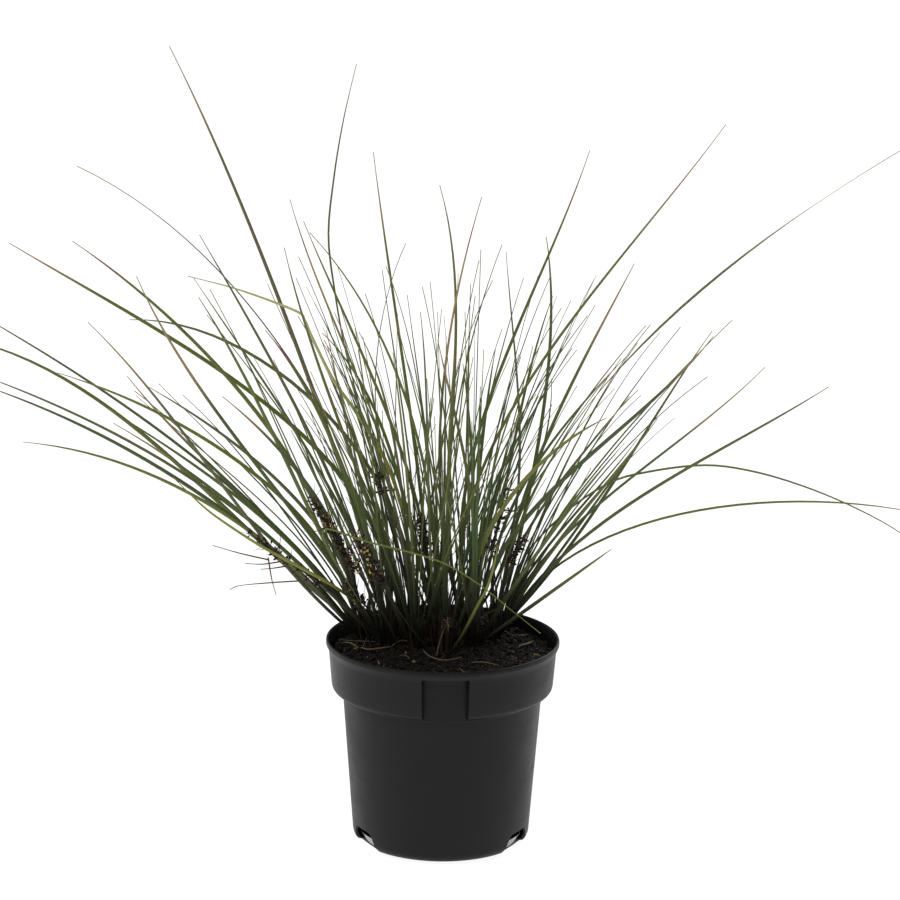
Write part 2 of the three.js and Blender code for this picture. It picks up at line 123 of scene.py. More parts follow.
class Finish(Kit):  # a material
    def __init__(self, name):
        self.material = bpy.data.materials.new(name)
        self.material.use_nodes = True
        super().__init__(self.material.node_tree)
        self.shader = self.tree.nodes["Principled BSDF"]
        self.place = self.node("TexCoord", out="Object")

    def named(self, *names):
        return [self.node("Attribute", out="Fac", attribute_name=name) for name in names]

    def noise(self, scale, detail=3.0, place=None):
        return self.node("TexNoise", {
            "Vector": place or self.place, "Scale": scale, "Detail": detail, "Roughness": 0.55}, "Fac")

    def bump(self, height, distance, strength):
        return self.node("Bump", {"Height": height, "Distance": distance, "Strength": strength})

    def set(self, **values):  # Base_Color=... and so on, on the shader
        for key, value in values.items():
            self.plug(self.shader.inputs[key.replace("_", " ")], value)
        return self.material


class Grower(Kit):  # a geometry node tree with named inputs
    def __init__(self, name, **inputs):
        super().__init__(bpy.data.node_groups.new(name, "GeometryNodeTree"))
        sockets = [("Geometry", "OUTPUT", "Geometry"), ("Geometry", "INPUT", "Geometry")]
        for key, way, kind in sockets + [(key, "INPUT", kind) for key, kind in inputs.items()]:
            self.tree.interface.new_socket(key, in_out=way, socket_type="NodeSocket" + kind)
        self.asked = [Value(self, socket) for socket in list(self.tree.nodes.new("NodeGroupInput").outputs)[:-1]]

    def named(self, name, kind="FLOAT"):
        return self.node("InputNamedAttribute", {"Name": name}, data_type=kind)

    def keep(self, geometry, name, value, domain="POINT"):  # stores a number on the geometry
        return self.node("StoreNamedAttribute", {"Geometry": geometry, "Name": name, "Value": value},
                         data_type="FLOAT", domain=domain)

    def draw(self, low, high, seed, kind="FLOAT"):
        first, out = {"FLOAT_VECTOR": (0, 0), "FLOAT": (2, 1), "INT": (4, 2)}[kind]
        return self.node("RandomValue", {first: low, first + 1: high, "Seed": seed}, out, data_type=kind)

    def placed(self, points, pieces, last, rotation, size, seed):  # pieces of a collection, picked by chance
        shapes = self.node("CollectionInfo", {
            "Collection": pieces, "Separate Children": True, "Reset Children": True})
        return self.node("InstanceOnPoints", {
            "Points": points, "Instance": shapes, "Pick Instance": True, "Rotation": rotation,
            "Instance Index": self.draw(0, last, seed, "INT"), "Scale": self.vector(size, size, size)})

    def swept(self, curve, section, scale):  # the section's scale is a number kept on the curve
        return self.node("CurveToMesh", {
            "Curve": curve, "Profile Curve": section, "Scale": self.named(scale), "Fill Caps": True})

    def join(self, *parts):
        made = self.node("JoinGeometry")
        for part in parts:
            self.tree.links.new(part.socket, made.socket.node.inputs[0])
        return made

    def finish(self, geometry, material, smooth):
        solid = self.node("RealizeInstances", {"Geometry": geometry})
        solid = self.node("SetShadeSmooth", {"Geometry": solid, "Shade Smooth": smooth})
        solid = self.node("SetMaterial", {"Geometry": solid, "Material": material})
        self.node("NodeGroupOutput", {"Geometry": solid})
        return self


def linked(name, data):
    piece = bpy.data.objects.new(name, data)
    scene.collection.objects.link(piece)
    return piece


def added(name, points, faces, material=None):
    mesh = bpy.data.meshes.new(name)
    mesh.from_pydata([tuple(p) for p in points], [], faces)
    if material:
        mesh.materials.append(material)
    return linked(name, mesh)


def grown(name, mesh, grower, **values):  # the grower's tree run on a mesh and kept as a plain mesh
    piece = linked(name, mesh)
    modifier = piece.modifiers.new("grow", "NODES")
    modifier.node_group = grower.tree
    for item in grower.tree.interface.items_tree:
        if item.name in values:
            modifier[item.identifier] = values[item.name]
    return flattened(piece)


def flattened(piece):  # the piece with its modifiers made part of its mesh
    depsgraph = bpy.context.evaluated_depsgraph_get()
    plain = bpy.data.meshes.new_from_object(piece.evaluated_get(depsgraph))
    piece.modifiers.clear()
    piece.data = plain
    plain.name = piece.name
    return piece


def noted(mesh, name, values, domain="POINT"):  # keeps a number or a vector on each point or face
    values = np.asarray(values, float)
    kind, field = ("FLOAT_VECTOR", "vector") if values.ndim == 2 else ("FLOAT", "value")
    mesh.attributes.new(name, kind, domain).data.foreach_set(field, values.ravel())


def lineMesh(name, lines):  # each line has points in metres first, then numbers or vectors to keep on them
    points, edges = [], []
    for line in lines:
        first = len(points)
        points += [tuple(p) for p in line["points"]]
        edges += [(i, i + 1) for i in range(first, len(points) - 1)]
    mesh = bpy.data.meshes.new(name)
    mesh.from_pydata(points, edges, [])
    for key in list(lines[0])[1:]:
        parts = [line[key] if np.ndim(line[key]) else [line[key]] * len(line["points"]) for line in lines]
        noted(mesh, key, np.concatenate(parts))
    return mesh


def merged(piece):  # double points joined and faces turned outward
    mesh = bmesh.new()
    mesh.from_mesh(piece.data)
    bmesh.ops.remove_doubles(mesh, verts=mesh.verts, dist=1e-6)
    bmesh.ops.recalc_face_normals(mesh, faces=mesh.faces)
    mesh.to_mesh(piece.data)
    mesh.free()
    piece.data.shade_smooth()
    return piece


def settle(piece, slot, *nodes):  # what the frame is told of every finished piece
    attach(piece, "root")
    if nodes:
        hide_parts(*nodes)


def around(radius, angle, height):  # a point, with its angle in radians from the right
    return (radius * cos(angle), radius * sin(angle), height)


def tubeFaces(rings, sides):  # between rings of points
    return [(r * sides + i, r * sides + i + sides, (r + 1) * sides + (i + 1) % sides, r * sides + (i + 1) % sides)
            for r in range(rings - 1) for i in range(sides)]


# Camera: the photograph's own view
camera = {"place": (0.00299, -2.1224, 0.7796), "pitch": 14.216, "roll": 0.678, "lens": 147.56, "sensor": 36,
          "farthest": 60}
eye = linked("studio_camera", bpy.data.cameras.new("studio_camera"))
eye.data.lens, eye.data.sensor_width, eye.data.clip_end = camera["lens"], camera["sensor"], camera["farthest"]
eye.location = camera["place"]
lookDown = Matrix.Rotation(radians(90 - camera["pitch"]), 3, "X")
eye.rotation_euler = (lookDown @ Matrix.Rotation(radians(camera["roll"]), 3, "Z")).to_euler()
scene.camera = eye


# Finishes
def leafFinish():
    # the root colour is the near-black painted shade at the leaves' feet in the crown
    look = {"blueGreen": (0.094, 0.168, 0.032), "olive": (0.200, 0.240, 0.030), "dark": (0.030, 0.048, 0.017),
            "root": (0.009, 0.008, 0.006), "yellow": (0.26, 0.27, 0.05), "cream": (0.50, 0.50, 0.22),
            "straw": (0.36, 0.26, 0.13), "rust": (0.23, 0.070, 0.045), "plum": (0.125, 0.095, 0.078),
            "sheath": (0.075, 0.042, 0.024)}
    made = Finish("leaf_green")
    along, reach, across, tone, dry, pale, shade, red, plum, sheath = made.named(
        "along", "reach", "across", "tone", "dry", "pale", "shade", "red", "plum", "sheath")
    streaks = made.noise(2.0, 4, made.vector(across * 4 + tone * 53, reach * 14, tone * 31))
    ribs = (across * 23).wave() * 0.5 + 0.5
    nearTip = along.eased(0.86, 0.92) * (1 - along.eased(0.95, 0.985))
    color = made.over(
        look["blueGreen"], (tone.eased(0.1, 0.9), look["olive"]), (streaks.eased(0.35, 0.75) * 0.5, look["dark"]),
        # painted shade: each leaf darkened by its shade share, standing for shade deep inside the tuft
        (ribs * 0.16, look["dark"]), (shade, look["dark"]), (plum, look["plum"]),
        # painted shade: each leaf darker over its lowest 150 mm, as shaded in the crown
        ((1 - reach.eased(0.02, 0.15)) * 0.6, look["dark"]),
        (pale.eased(0.0, 1.0) * reach.eased(0.005, 0.05), look["yellow"]),
        ((pale - 1).eased(0.0, 1.0) * reach.eased(0.12, 0.2), look["cream"]),
        ((along + dry * 0.4 - 1).eased(0.0, 0.16), look["straw"]), (red * nearTip, look["rust"]),
        # the dry tip in straw, then painted shade: the first 85 mm of each leaf near-black
        (along.eased(0.94, 1.0) * 0.7, look["straw"]), (1 - reach.eased(0.005, 0.085), look["root"]),
        (sheath * streaks.eased(0.2, 0.8), look["sheath"]))
    return made.set(
        Base_Color=color, Roughness=streaks.eased(0.3, 0.7, 0.42, 0.58),
        Normal=made.bump(ribs + streaks * 0.6, 0.00008, 0.6), Specular_IOR_Level=0.35)


def spikeFinish():
    look = {"bract": (0.009, 0.007, 0.004), "purple": (0.028, 0.012, 0.008), "petal": (0.64, 0.52, 0.12),
            "needle": (0.060, 0.044, 0.030)}
    made = Finish("flower_spike_brown")
    bloom, needle, tone = made.named("bloom", "needle", "tone")
    grain = made.noise(900, 4)
    color = made.over(look["bract"], (grain.eased(0.35, 0.65), look["purple"]), (needle, look["needle"]),
                      (bloom.eased(0.35, 0.8) * tone, look["petal"]))
    return made.set(Base_Color=color, Roughness=grain.eased(0.3, 0.7, 0.55, 0.8),
                    Normal=made.bump(grain, 0.0002, 0.7), Specular_IOR_Level=0.3)


def strawFinish():
    made = Finish("dry_straw")
    across, reach, tone = made.named("across", "reach", "tone")
    streaks = made.noise(2.0, 4, made.vector(across * 5 + tone * 37, reach * 60, tone * 19))
    color = made.over((0.20, 0.145, 0.085), (streaks.eased(0.3, 0.7), (0.085, 0.060, 0.036)),
                      (tone.eased(0.6, 0.9) * 0.6, (0.11, 0.12, 0.045)))
    return made.set(Base_Color=color, Roughness=streaks.eased(0.3, 0.7, 0.6, 0.8),
                    Normal=made.bump(streaks, 0.0001, 0.8), Specular_IOR_Level=0.3)


def barkFinish():
    made = Finish("bark_mix")
    tone, = made.named("tone")
    grain, coarse = made.noise(700, 5), made.noise(160, 3)
    color = made.over(
        (0.0035, 0.0030, 0.0024), (coarse.eased(0.3, 0.7), (0.0085, 0.0062, 0.0045)),
        (grain.eased(0.45, 0.75) * 0.4, (0.019, 0.0135, 0.0092)), (tone.eased(0.94, 0.98) * 0.7, (0.055, 0.030, 0.015)),
        (tone.eased(0.988, 0.992), (0.17, 0.11, 0.05)))
    return made.set(Base_Color=color, Roughness=grain.eased(0.3, 0.7, 0.5, 0.85),
                    Normal=made.bump(grain + coarse, 0.0006, 0.9), Specular_IOR_Level=0.22)


def potFinish():
    made = Finish("charcoal_plastic")
    mottle, grit = made.noise(38, 4), made.noise(2600, 3)
    scuffs = made.noise(1.0, 5, made.node("Mapping", {"Vector": made.place, "Scale": (60, 60, 420)}))
    panel, plate = made.named("panel", "plate")
    color = made.over(
        (0.0052, 0.0052, 0.0055), (mottle.eased(0.3, 0.7), (0.0080, 0.0078, 0.0076)),
        # scuffs are wear; the label recess is darker, partly its own surface and partly painted shade
        (scuffs.eased(0.62, 0.8) * 0.3, (0.030, 0.029, 0.028)), (panel * 0.6, (0.0028, 0.0028, 0.0030)),
        # painted reflection: the plates behind the notches light grey, standing for the white floor they reflect
        (plate, (0.30, 0.295, 0.29)))
    rough = mottle.eased(0.3, 0.7, 0.40, 0.50) + scuffs.eased(0.5, 0.8) * 0.08
    return made.set(
        Base_Color=color, Roughness=rough - panel * 0.1 - plate * 0.25,
        Normal=made.bump(grit * 0.4 + mottle * 3, 0.00006, 0.5), Specular_IOR_Level=0.2)


leafLook, spikeLook, strawLook, barkLook, potLook = [
    f() for f in (leafFinish, spikeFinish, strawFinish, barkFinish, potFinish)]
print("finishes made")

# The plant's rule: the same shoots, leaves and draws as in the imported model
soil = {"level": 116.6, "mound": 1.4, "moundReach": 66, "relief": 0.95}
plant = {"stub": (6.2, 4.4), "stubBottom": 107, "stubShoulder": 121, "rootHeight": 120, "rootSpread": 0.62,
         "rootReach": 90, "crown": (-9, 22), "crownReach": 42, "leafGap": 3.1, "stubGap": 8.2, "headGap": 7.2,
         "rimRadius": 64, "rimHeight": 128.5, "width": (1.9, 2.9), "length": (150, 270), "lean": (6, 34, 12),
         "lift": (2, 22), "nod": (0, 22), "bends": (23, 44), "stalkBottom": 108, "stalkFoot": 2.6, "seed": 20417,
         "triesSeen": 40, "triesDrawn": 60, "tryStep": 3}
# Each shoot: its place, how many drawn leaves, then its seen leaves: tip x, y, z, lift, nod and what is special
shootRows = [
    ((-47, 16), 5, [
        (-130, -30, 280, 30, 20, {"dry": 0.6, "plum": 0.4}), (-205, -60, 330, -10, 5), (-230, 5, 285, 40, 25),
        (-200, 0, 265, 20, 10), (-275, -20, 290, 20, 15), (-270, -40, 288, 15, 15), (-245, -45, 255, 20, 25),
        (-160, -10, 230, 40, -20, {"pale": 1.0, "width": 2.0, "path": "yellow"})]),
    ((-33, 6), 6, [
        (-180, -40, 350, 5, -10, {"dry": 0.9}), (-145, -20, 335, -5, 5), (-140, -60, 290, 15, 15),
        (-195, -50, 260, 5, 10)]),
    ((-16, 0), 8, [
        (-105, -30, 320, 0, 15, {"dry": 0.4, "red": 1.0}), (-70, -55, 320, 20, 15), (-30, -85, 320, 15, 10)]),
    ((2, -4), 7, [
        (-5, -5, 310, 35, 10), (5, -25, 305, 10, 20), (30, -45, 195, -20, -15, {"pale": 0.9, "path": "front"})]),
    ((18, 6), 6, [
        (155, -20, 320, 40, 0, {"width": 3.4, "dry": 0.5, "taper": 3.0}),
        (95, -10, 265, 50, 35, {"dry": 0.25, "pale": 0.6, "shade": 0, "plum": 0.6, "width": 3.2, "taper": 4.5,
                                "turn": 0.1, "twist": 0.3}),
        (100, -10, 185, 0, 0), (20, -60, 295, 0, 0), (105, -30, 255, 5, 5, {"dry": 0.5, "red": 1.0}),
        (85, -50, 245, 5, -5)]),
    ((30, 22), 6, [
        (190, 20, 290, 25, 0), (230, 35, 275, 25, 5), (290, 0, 205, 50, 30, {"width": 1.8, "plum": 0}),
        (110, 25, 270, 30, 10), (125, -10, 265, 10, 0), (120, 0, 255, 0, 0)]),
    ((32, 40), 6, [
        (60, 85, 355, -15, -30),
        (285, 55, 425, 40, 20, {"plum": 0.5, "dry": 0.9, "turn": -1.5, "twist": 7, "width": 2.0, "taper": 4}),
        (115, 105, 335, 25, 10, {"dry": 0.8}), (160, 50, 305, -10, 0),
        (290, -60, 190, 75, 45, {"path": "drooping", "width": 1.7, "plum": 0}), (110, 50, 290, 45, 20),
        (115, 20, 245, 15, 0)]),
    ((17, 53), 9, [
        (85, 75, 410, 35, 5, {"dry": 0.5, "red": 0.5, "taper": 3.5, "turn": 0.2}), (65, 100, 315, -5, 10)]),
    ((0, 54), 10, [(-25, 60, 355, -30, -30, {"width": 1.0, "plum": 1.0})]),
    ((-17, 53), 8, [(-225, 85, 395, 20, 30, {"width": 1.0, "plum": 1.0}), (-190, 40, 310, 50, 50)]),
    ((-32, 47), 8, [(-265, 70, 350, 55, 15, {"dry": 0.5})]),
    ((-46, 33), 5, [
        (-225, 50, 355, 25, 20, {"dry": 0.4, "red": 1.0}), (-190, 20, 280, 10, -5), (-285, 40, 315, 15, 10),
        (-180, 55, 265, 35, 20), (-290, 10, 305, 0, 25), (-245, 60, 245, 5, 20)]),
    ((-31, 24), 7, [
        (-145, 0, 370, 10, 5, {"width": 2.3, "taper": 3, "plum": 0.5, "turn": 0.2, "twist": 0}),
        (-150, 20, 340, 15, 5)]),
    ((-17, 18), 7, [
        (-95, -10, 365, 5, -5),
        (-95, 25, 380, 30, 0, {"dry": 0.9, "red": 0.7, "width": 2.1, "taper": 3.5, "turn": -1.3, "twist": 3}),
        (-50, -55, 325, 15, 25)]),
    ((0, 14), 6, [(-80, -15, 375, 20, 25), (-75, 55, 300, 5, 30), (-15, -45, 335, -25, 10), (0, -25, 315, 5, 5)]),
    ((14, 24), 6, [
        (-5, 35, 395, -15, 15), (20, 25, 390, 20, 15, {"dry": 1.1, "red": 0.8}),
        (165, 55, 430, 45, 10, {"width": 2.3, "taper": 3, "dry": 0.7, "turn": 0.2, "twist": 0.3}),
        (10, 20, 290, 10, 10)]),
    ((12, 39), 7, [(35, 35, 355, -35, -10), (30, 85, 285, 0, 10), (65, 85, 265, -10, -30)]),
    ((-5, 33), 7, [
        (-55, 45, 465, -15, -25, {"path": "swayed", "width": 1.9, "shade": 0.2, "taper": 3.5, "turn": 1.4,
                                  "twist": -3.4}),
        (-45, 60, 410, 5, 0), (-85, 20, 375, 20, 5)]),
    ((-21, 36), 7, [
        (-165, 40, 475, 0, 5, {"width": 2.9, "taper": 2.4, "dry": 0.5, "plum": 0.65, "shade": 0, "turn": 0,
                               "twist": 0}),
        (-155, 20, 340, 40, 70, {"pale": 2.0, "dry": 0, "shade": 0, "path": "bent", "width": 2.4, "taper": 3,
                                 "turn": 0, "twist": 0.2}),
        (-90, 60, 310, 5, 15)])]
shoots = [{"owner": i, "at": at, "feet": [at], "more": more, "leaves": leaves, "blades": []}
          for i, (at, more, leaves) in enumerate(shootRows)]
shoots[14]["feet"].append((-3, 5))  # a bare stub beside it
ownPaths = {  # leaves whose line is drawn point by point, close to the rule's
    "yellow": [
        (-33, 16, 121), (-46.7, 12, 138.1), (-54.9, 5, 147.5), (-61.2, -4, 155.1), (-70.5, -14, 164.2),
        (-90, -27, 179), (-108, -35, 191.5), (-126, -34, 203), (-141, -30, 213), (-160, -22, 229)],
    "drooping": [
        (35, 38, 120), (46, 37, 161), (70, 31, 193), (98, 21, 217), (123, 9, 228), (154, -6, 236), (180, -18, 236),
        (208, -30, 231), (237, -42, 222), (265, -52, 209), (290, -60, 190)],
    "front": [
        (3, -12, 118), (6, -20, 124), (13, -26, 138), (21, -30, 156), (26, -33, 167), (30, -36, 183),
        (31.5, -40, 195)],
    "innerLong": [(-37.8, 3, 122.6), (-44.4, -5, 155), (-56.9, -13, 187.5), (-75.1, -22, 228.3), (-90.1, -30, 260.4)],
    "innerShort": [(-32.4, 2, 122.4), (-40.3, -6, 162.8), (-51.6, -14, 202), (-62.8, -20, 238.9)],
    "swayed": [
        (-5, 33, 120), (-18, 36, 153), (-31, 39, 186), (-42, 42, 220), (-51, 44, 255), (-60.5, 46, 291), (-67, 47, 326),
        (-71.2, 48, 361), (-68, 48, 397), (-62.6, 47, 431), (-55, 45, 465)],
    "bent": [
        (-21, 36, 120), (-22, 36, 177), (-34, 34.5, 222), (-52, 32, 254), (-67.5, 30, 277), (-80, 28, 303),
        (-84.5, 27.4, 313.5), (-90, 26.8, 319.5), (-123, 24, 332.3), (-153.4, 20, 341.2)]}
foldedShoot = shoots[1]
foldedBends = [(-34, 4, 120), (-48, -18, 150), (-71, -50, 204), (-44, -62, 202), (-4, -64, 192), (20, -56, 176),
               (39, -43, 157)]
foldedLine = foldedBends + [(54, -30, 140)]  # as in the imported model
ownPaths["folded"] = foldedBends + [(58, -30, 138)]
innerLeaves = [  # two more leaves of that shoot, over the gap on the left of the crown
    {"path": "innerLong", "seen": True, "width": 2.6}, {"path": "innerShort", "seen": True, "width": 2.4}]
spikes = [dict(zip(("foot", "tip", "lift", "nod", "head", "bloom", "gaps"), row)) for row in (
    ((-25, -9), (-76, -50, 223), 8, 0, 58, 1.0, 0), ((-6, -13), (-51, -50, 203), -10, -5, 42, 0.9, 0),
    ((-24, 17), (-57, -12, 164), -5, -15, 22, 0.3, 0), ((-8, 8), (-14, -8, 202), 8, 18, 28, 0.0, 0),
    ((-11, 27), (-41, -9, 239), 0, -10, 34, 0.0, 1.1), ((23, 15), (39, 12, 217), 30, 0, 44, 0.1, 0.9),
    ((29, 8), (48, 3, 187), 5, 25, 20, 0.1, 0), ((-43, 3), (-116, -25, 198), 28, 0, 66, 0.0, 0.8))]


def drawsFrom(seed, factor=48271, modulus=2147483647):
    while True:
        seed = seed * factor % modulus
        yield seed / modulus


draws = drawsFrom(plant["seed"])


def between(low, high):
    return low + (high - low) * next(draws)


def leafHandles(root, tip, lift, nod):  # the four points of a leaf's Bezier line
    root, tip = np.array(root, float), np.array(tip, float)
    length = norm(tip - root)
    along = (tip - root) / length
    rise = np.array((0, 0, 1.0)) - along * along[2]
    rise /= norm(rise)

    def handle(end, angle, way):
        return end + (along * way * cos(angle) + rise * sin(angle)) * length / 3
    return root, handle(root, radians(lift), 1), handle(tip, radians(nod), -1), tip


def leafLine(handles, steps):
    t = np.linspace(0, 1, steps + 1)[:, None]
    a, b, c, d = handles
    return a * (1 - t) ** 3 + 3 * b * t * (1 - t) ** 2 + 3 * c * t * t * (1 - t) + d * t ** 3


def ruleLine(handles, lift, nod):  # with the few steps that the rule's own lines have
    return leafLine(handles, 3 + sum(abs(lift) + abs(nod) >= bend for bend in plant["bends"]))


segments = []  # of everything that stands: from, to, how far others keep away, and whose it is


def grow(line, owner, gap):
    segments.extend((*a, *b, gap, owner) for a, b in zip(line[:-1], line[1:]))


def isClear(line, owner):
    starts, ends = line[:-1], line[1:]
    near = starts + (ends - starts) * (np.arange(11)[:, None, None] / 10)
    if np.any((np.hypot(near[..., 0], near[..., 1]) > plant["rimRadius"]) & (near[..., 2] < plant["rimHeight"])):
        return False
    others = np.array(segments)
    others = others[others[:, 7] != owner]
    u, v = (ends - starts)[:, None], (others[:, 3:6] - others[:, :3])[None]
    w = starts[:, None] - others[None, :, :3]
    a, b, c = (u * u).sum(2), (u * v).sum(2), (v * v).sum(2)
    d, e = (u * w).sum(2), (v * w).sum(2)
    bottom = a * c - b * b
    m = np.where(bottom > 1e-9, np.clip((b * e - c * d) / np.where(bottom > 1e-9, bottom, 1), 0, 1), 0)
    n = np.clip((b * m + e) / c, 0, 1)
    m = np.clip((b * n - d) / a, 0, 1)
    return not np.any(norm(w + u * m[..., None] - v * n[..., None], axis=2) < others[:, 6])


def backFromTip(line, left):
    for a, b in zip(line[::-1], line[-2::-1]):
        step = norm(a - b)
        if left <= step:
            return a + (b - a) * left / step
        left -= step
    return line[0]


def rootOf(shoot, tip):
    x, y = shoot["at"]
    way = (tip[0] - x, tip[1] - y)
    share = plant["rootSpread"] * min(1, hypot(*way) / plant["rootReach"])
    turn = shoot["turn"]
    angle = atan2(way[1], way[0]) - turn
    u, v = plant["stub"][0] * cos(angle) * share, plant["stub"][1] * sin(angle) * share
    return (x + u * cos(turn) - v * sin(turn), y + u * sin(turn) + v * cos(turn), plant["rootHeight"])


def seenTries(x, y, z, lift, nod):  # the tip as it is, then further forward and back
    for i in range(plant["triesSeen"]):
        yield (x, y + ceil(i / 2) * plant["tryStep"] * (1 if i % 2 else -1), z), lift, nod


def drawnTries(shoot):
    x, y = shoot["at"]
    dx, dy = x - plant["crown"][0], y - plant["crown"][1]
    spread, (upright, outward, freely) = min(1, hypot(dx, dy) / plant["crownReach"]), plant["lean"]
    for _ in range(plant["triesDrawn"]):
        turn = atan2(dy, dx) + between(-1, 1) * (3 - 2 * spread)
        lean = radians(upright + outward * spread * next(draws) + freely * next(draws))
        length = between(*plant["length"])
        out = around(length * sin(lean), turn, plant["rootHeight"] + length * cos(lean))
        yield (x + out[0], y + out[1], out[2]), between(*plant["lift"]), between(*plant["nod"])


def clearLeaf(shoot, tries):  # the first that keeps away from the others
    for tip, lift, nod in tries:
        handles = leafHandles(rootOf(shoot, tip), tip, lift, nod)
        line = ruleLine(handles, lift, nod)
        if isClear(line, shoot["owner"]):
            return handles, line


def addBlade(shoot, found, special=None):
    if found:
        handles, line = found
        grow(line, shoot["owner"], plant["leafGap"])
        width = between(*plant["width"])
        next(draws)  # the leaf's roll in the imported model
        shoot["blades"].append({"handles": handles, "width": width, "seen": special is not None, **(special or {})})


for i, spike in enumerate(spikes):
    tip, lift, nod = spike["tip"], spike["lift"], spike["nod"]
    spike["handles"] = leafHandles((*spike["foot"], soil["level"] + plant["stalkFoot"]), tip, lift, nod)
    line = ruleLine(spike["handles"], lift, nod)
    head = np.array([backFromTip(line, spike["head"]), backFromTip(line, spike["head"] / 2), tip], float)
    grow(np.vstack([(*spike["foot"], plant["stalkBottom"]), line]), -1 - i, plant["leafGap"])
    grow(head, -1 - i, plant["headGap"])
for shoot in shoots:
    shoot["turn"] = next(draws) * pi
    stub = [(*shoot["at"], plant[end]) for end in ("stubBottom", "stubShoulder")]
    grow(np.array(stub, float), shoot["owner"], plant["stubGap"])
addBlade(foldedShoot, (None, np.array(foldedLine, float)), {
    "path": "folded", "pale": 0.12, "twist": 0.4, "dry": 0.12, "width": 1.3})
for shoot in shoots:
    for leaf in shoot["leaves"]:
        addBlade(shoot, clearLeaf(shoot, seenTries(*leaf[:5])), leaf[5] if len(leaf) > 5 else {})
for turn in range(max(shoot["more"] for shoot in shoots)):
    for shoot in shoots:
        if turn < shoot["more"]:
            addBlade(shoot, clearLeaf(shoot, drawnTries(shoot)))
print("leaves on the rule:", sum(len(shoot["blades"]) for shoot in shoots))

# Leaves: a lens-shaped section with a shallow fold, swept along each line
blade = {"steps": 26, "section": 10, "thickness": 0.16, "fold": 0.34, "seed": 77, "tip": 0.26, "leftWider": 1.15,
         "leftEdge": -100, "footLength": 30, "tipShape": 0.65, "twistCentre": 0.4,
         # the seen and drawn settings hold the share of painted shade on a leaf, larger for the drawn leaves inside the
         # tuft
         "seen": {"wider": 0.88, "turn": 0.4, "twist": 0.7, "taper": (2.7, 4.2), "shade": 0.35, "plum": 0.6,
                  "shown": 1},
         "drawn": {"wider": 0.46, "turn": 0.6, "twist": 0.8, "taper": (2.3, 3.6), "shade": 0.85, "plum": 0.12,
                   "shown": 0.88},
         "thinPerShoot": 3, "sheathsPerShoot": 7, "fibresPerShoot": 12}


def bladeGrower():
    tree = Grower("sweep_blades", Sides="Int", Thickness="Float", Fold="Float", Material="Material")
    lines, sides, thickness, fold, material = tree.asked
    curve = tree.node("MeshToCurve", {"Mesh": lines})
    normal = tree.named("faceNormal", "FLOAT_VECTOR")
    curve = tree.node("SetCurveNormal", {"Curve": curve, "Normal": normal}, mode="FREE")
    section = tree.node("CurvePrimitiveCircle", {"Resolution": sides, "Radius": 1.0})
    at = tree.node("InputPosition")
    x, y = tree.part(at, 0), tree.part(at, 1)
    section = tree.keep(section, "across", y)
    folded = tree.vector(x * thickness + (y.size() - 0.5) * fold, y, 0.0)
    section = tree.node("SetPosition", {"Geometry": section, "Position": folded})
    return tree.finish(tree.swept(curve, section, "halfWidth"), material, True)


blades = bladeGrower()
lookAlong = np.array((0, cos(radians(camera["pitch"])), -sin(radians(camera["pitch"]))))


def bladePiece(name, lines, look, slot, *nodes, sides=blade["section"], fold=blade["fold"]):
    piece = grown(name, lineMesh(name, lines), blades, Sides=sides, Thickness=blade["thickness"], Fold=fold,
                  Material=look)
    settle(piece, slot, *nodes)


def smoothPath(points, steps):  # a rounded line through the points
    points = np.array(points, float)
    points = np.vstack([2 * points[0] - points[1], points, 2 * points[-1] - points[-2]])
    line = []
    for t in np.linspace(0, len(points) - 3, steps + 1):
        i = min(int(t), len(points) - 4)
        f = t - i
        p, q, r, s = points[i:i + 4]
        line.append(0.5 * (2 * q + (r - p) * f + (2 * p - 5 * q + 4 * r - s) * f * f
                           + (3 * q - p - 3 * r + s) * f ** 3))
    return np.array(line)


def sidesOf(line):  # the ways across a leaf and out of its face, before any roll
    lean = line[-1] - line[0]
    across = np.array((-lean[1], lean[0], 0.0))
    across /= max(norm(across), 1e-9)
    tangent = np.gradient(line, axis=0)
    tangent /= norm(tangent, axis=1)[:, None]
    flat = across - tangent * (tangent @ across)[:, None]
    flat /= norm(flat, axis=1)[:, None]
    return flat, np.cross(tangent, flat)


def rollToCamera(line):  # the roll that turns a leaf's flat side to the camera half way up
    flat, up = [side[len(line) // 2] for side in sidesOf(line)]
    return atan2(-(flat @ lookAlong), up @ lookAlong)


def bladeLine(line, width, roll, twist, taper=2.4, foot=0.75, **tints):
    reach = np.append(0, np.cumsum(norm(np.diff(line, axis=0), axis=1)))
    along = reach / reach[-1]
    flat, up = sidesOf(line)
    angle = (roll + twist * (along - blade["twistCentre"]))[:, None]
    swell = foot + (1 - foot) * np.clip(reach / blade["footLength"], 0, 1)
    shape = np.clip(1 - along ** taper, 0, 1) ** blade["tipShape"]
    half = np.maximum(width / 2 * swell * shape, blade["tip"])
    return {"points": line * mm, "halfWidth": half * mm, "faceNormal": up * np.cos(angle) - flat * np.sin(angle),
            "along": along, "reach": reach * mm,
            **dict.fromkeys(("tone", "dry", "pale", "shade", "red", "plum", "sheath"), 0.0), **tints}


def soilHeight(x, y):
    spread = np.minimum(1, np.hypot(x, y) / soil["moundReach"])
    chunks = np.sin(0.55 * x + 1.3) * np.cos(0.48 * y - 0.6) + 0.6 * np.sin(0.31 * x - 0.37 * y + 2)
    return soil["level"] + soil["mound"] * (1 - spread * spread) + soil["relief"] * chunks


def rooted(line):  # carries a line on down into the mix
    return np.vstack([line[0] - (0, 0, 7.0), line[0] - (0, 0, 3.0), line])


def bowed(start, tip, lift, nod, steps):
    return leafLine(leafHandles(start, tip, lift, nod), steps)


chance = np.random.default_rng(blade["seed"])
pick = chance.uniform


def besideFoot(foot, spread):  # a point on the mix, and the way out to it
    out = np.array(around(1, pick(0, 2 * pi), 0))
    start = (*foot, 0) + out * (*spread, 0)
    start[2] = soilHeight(*start[:2])
    return start, out


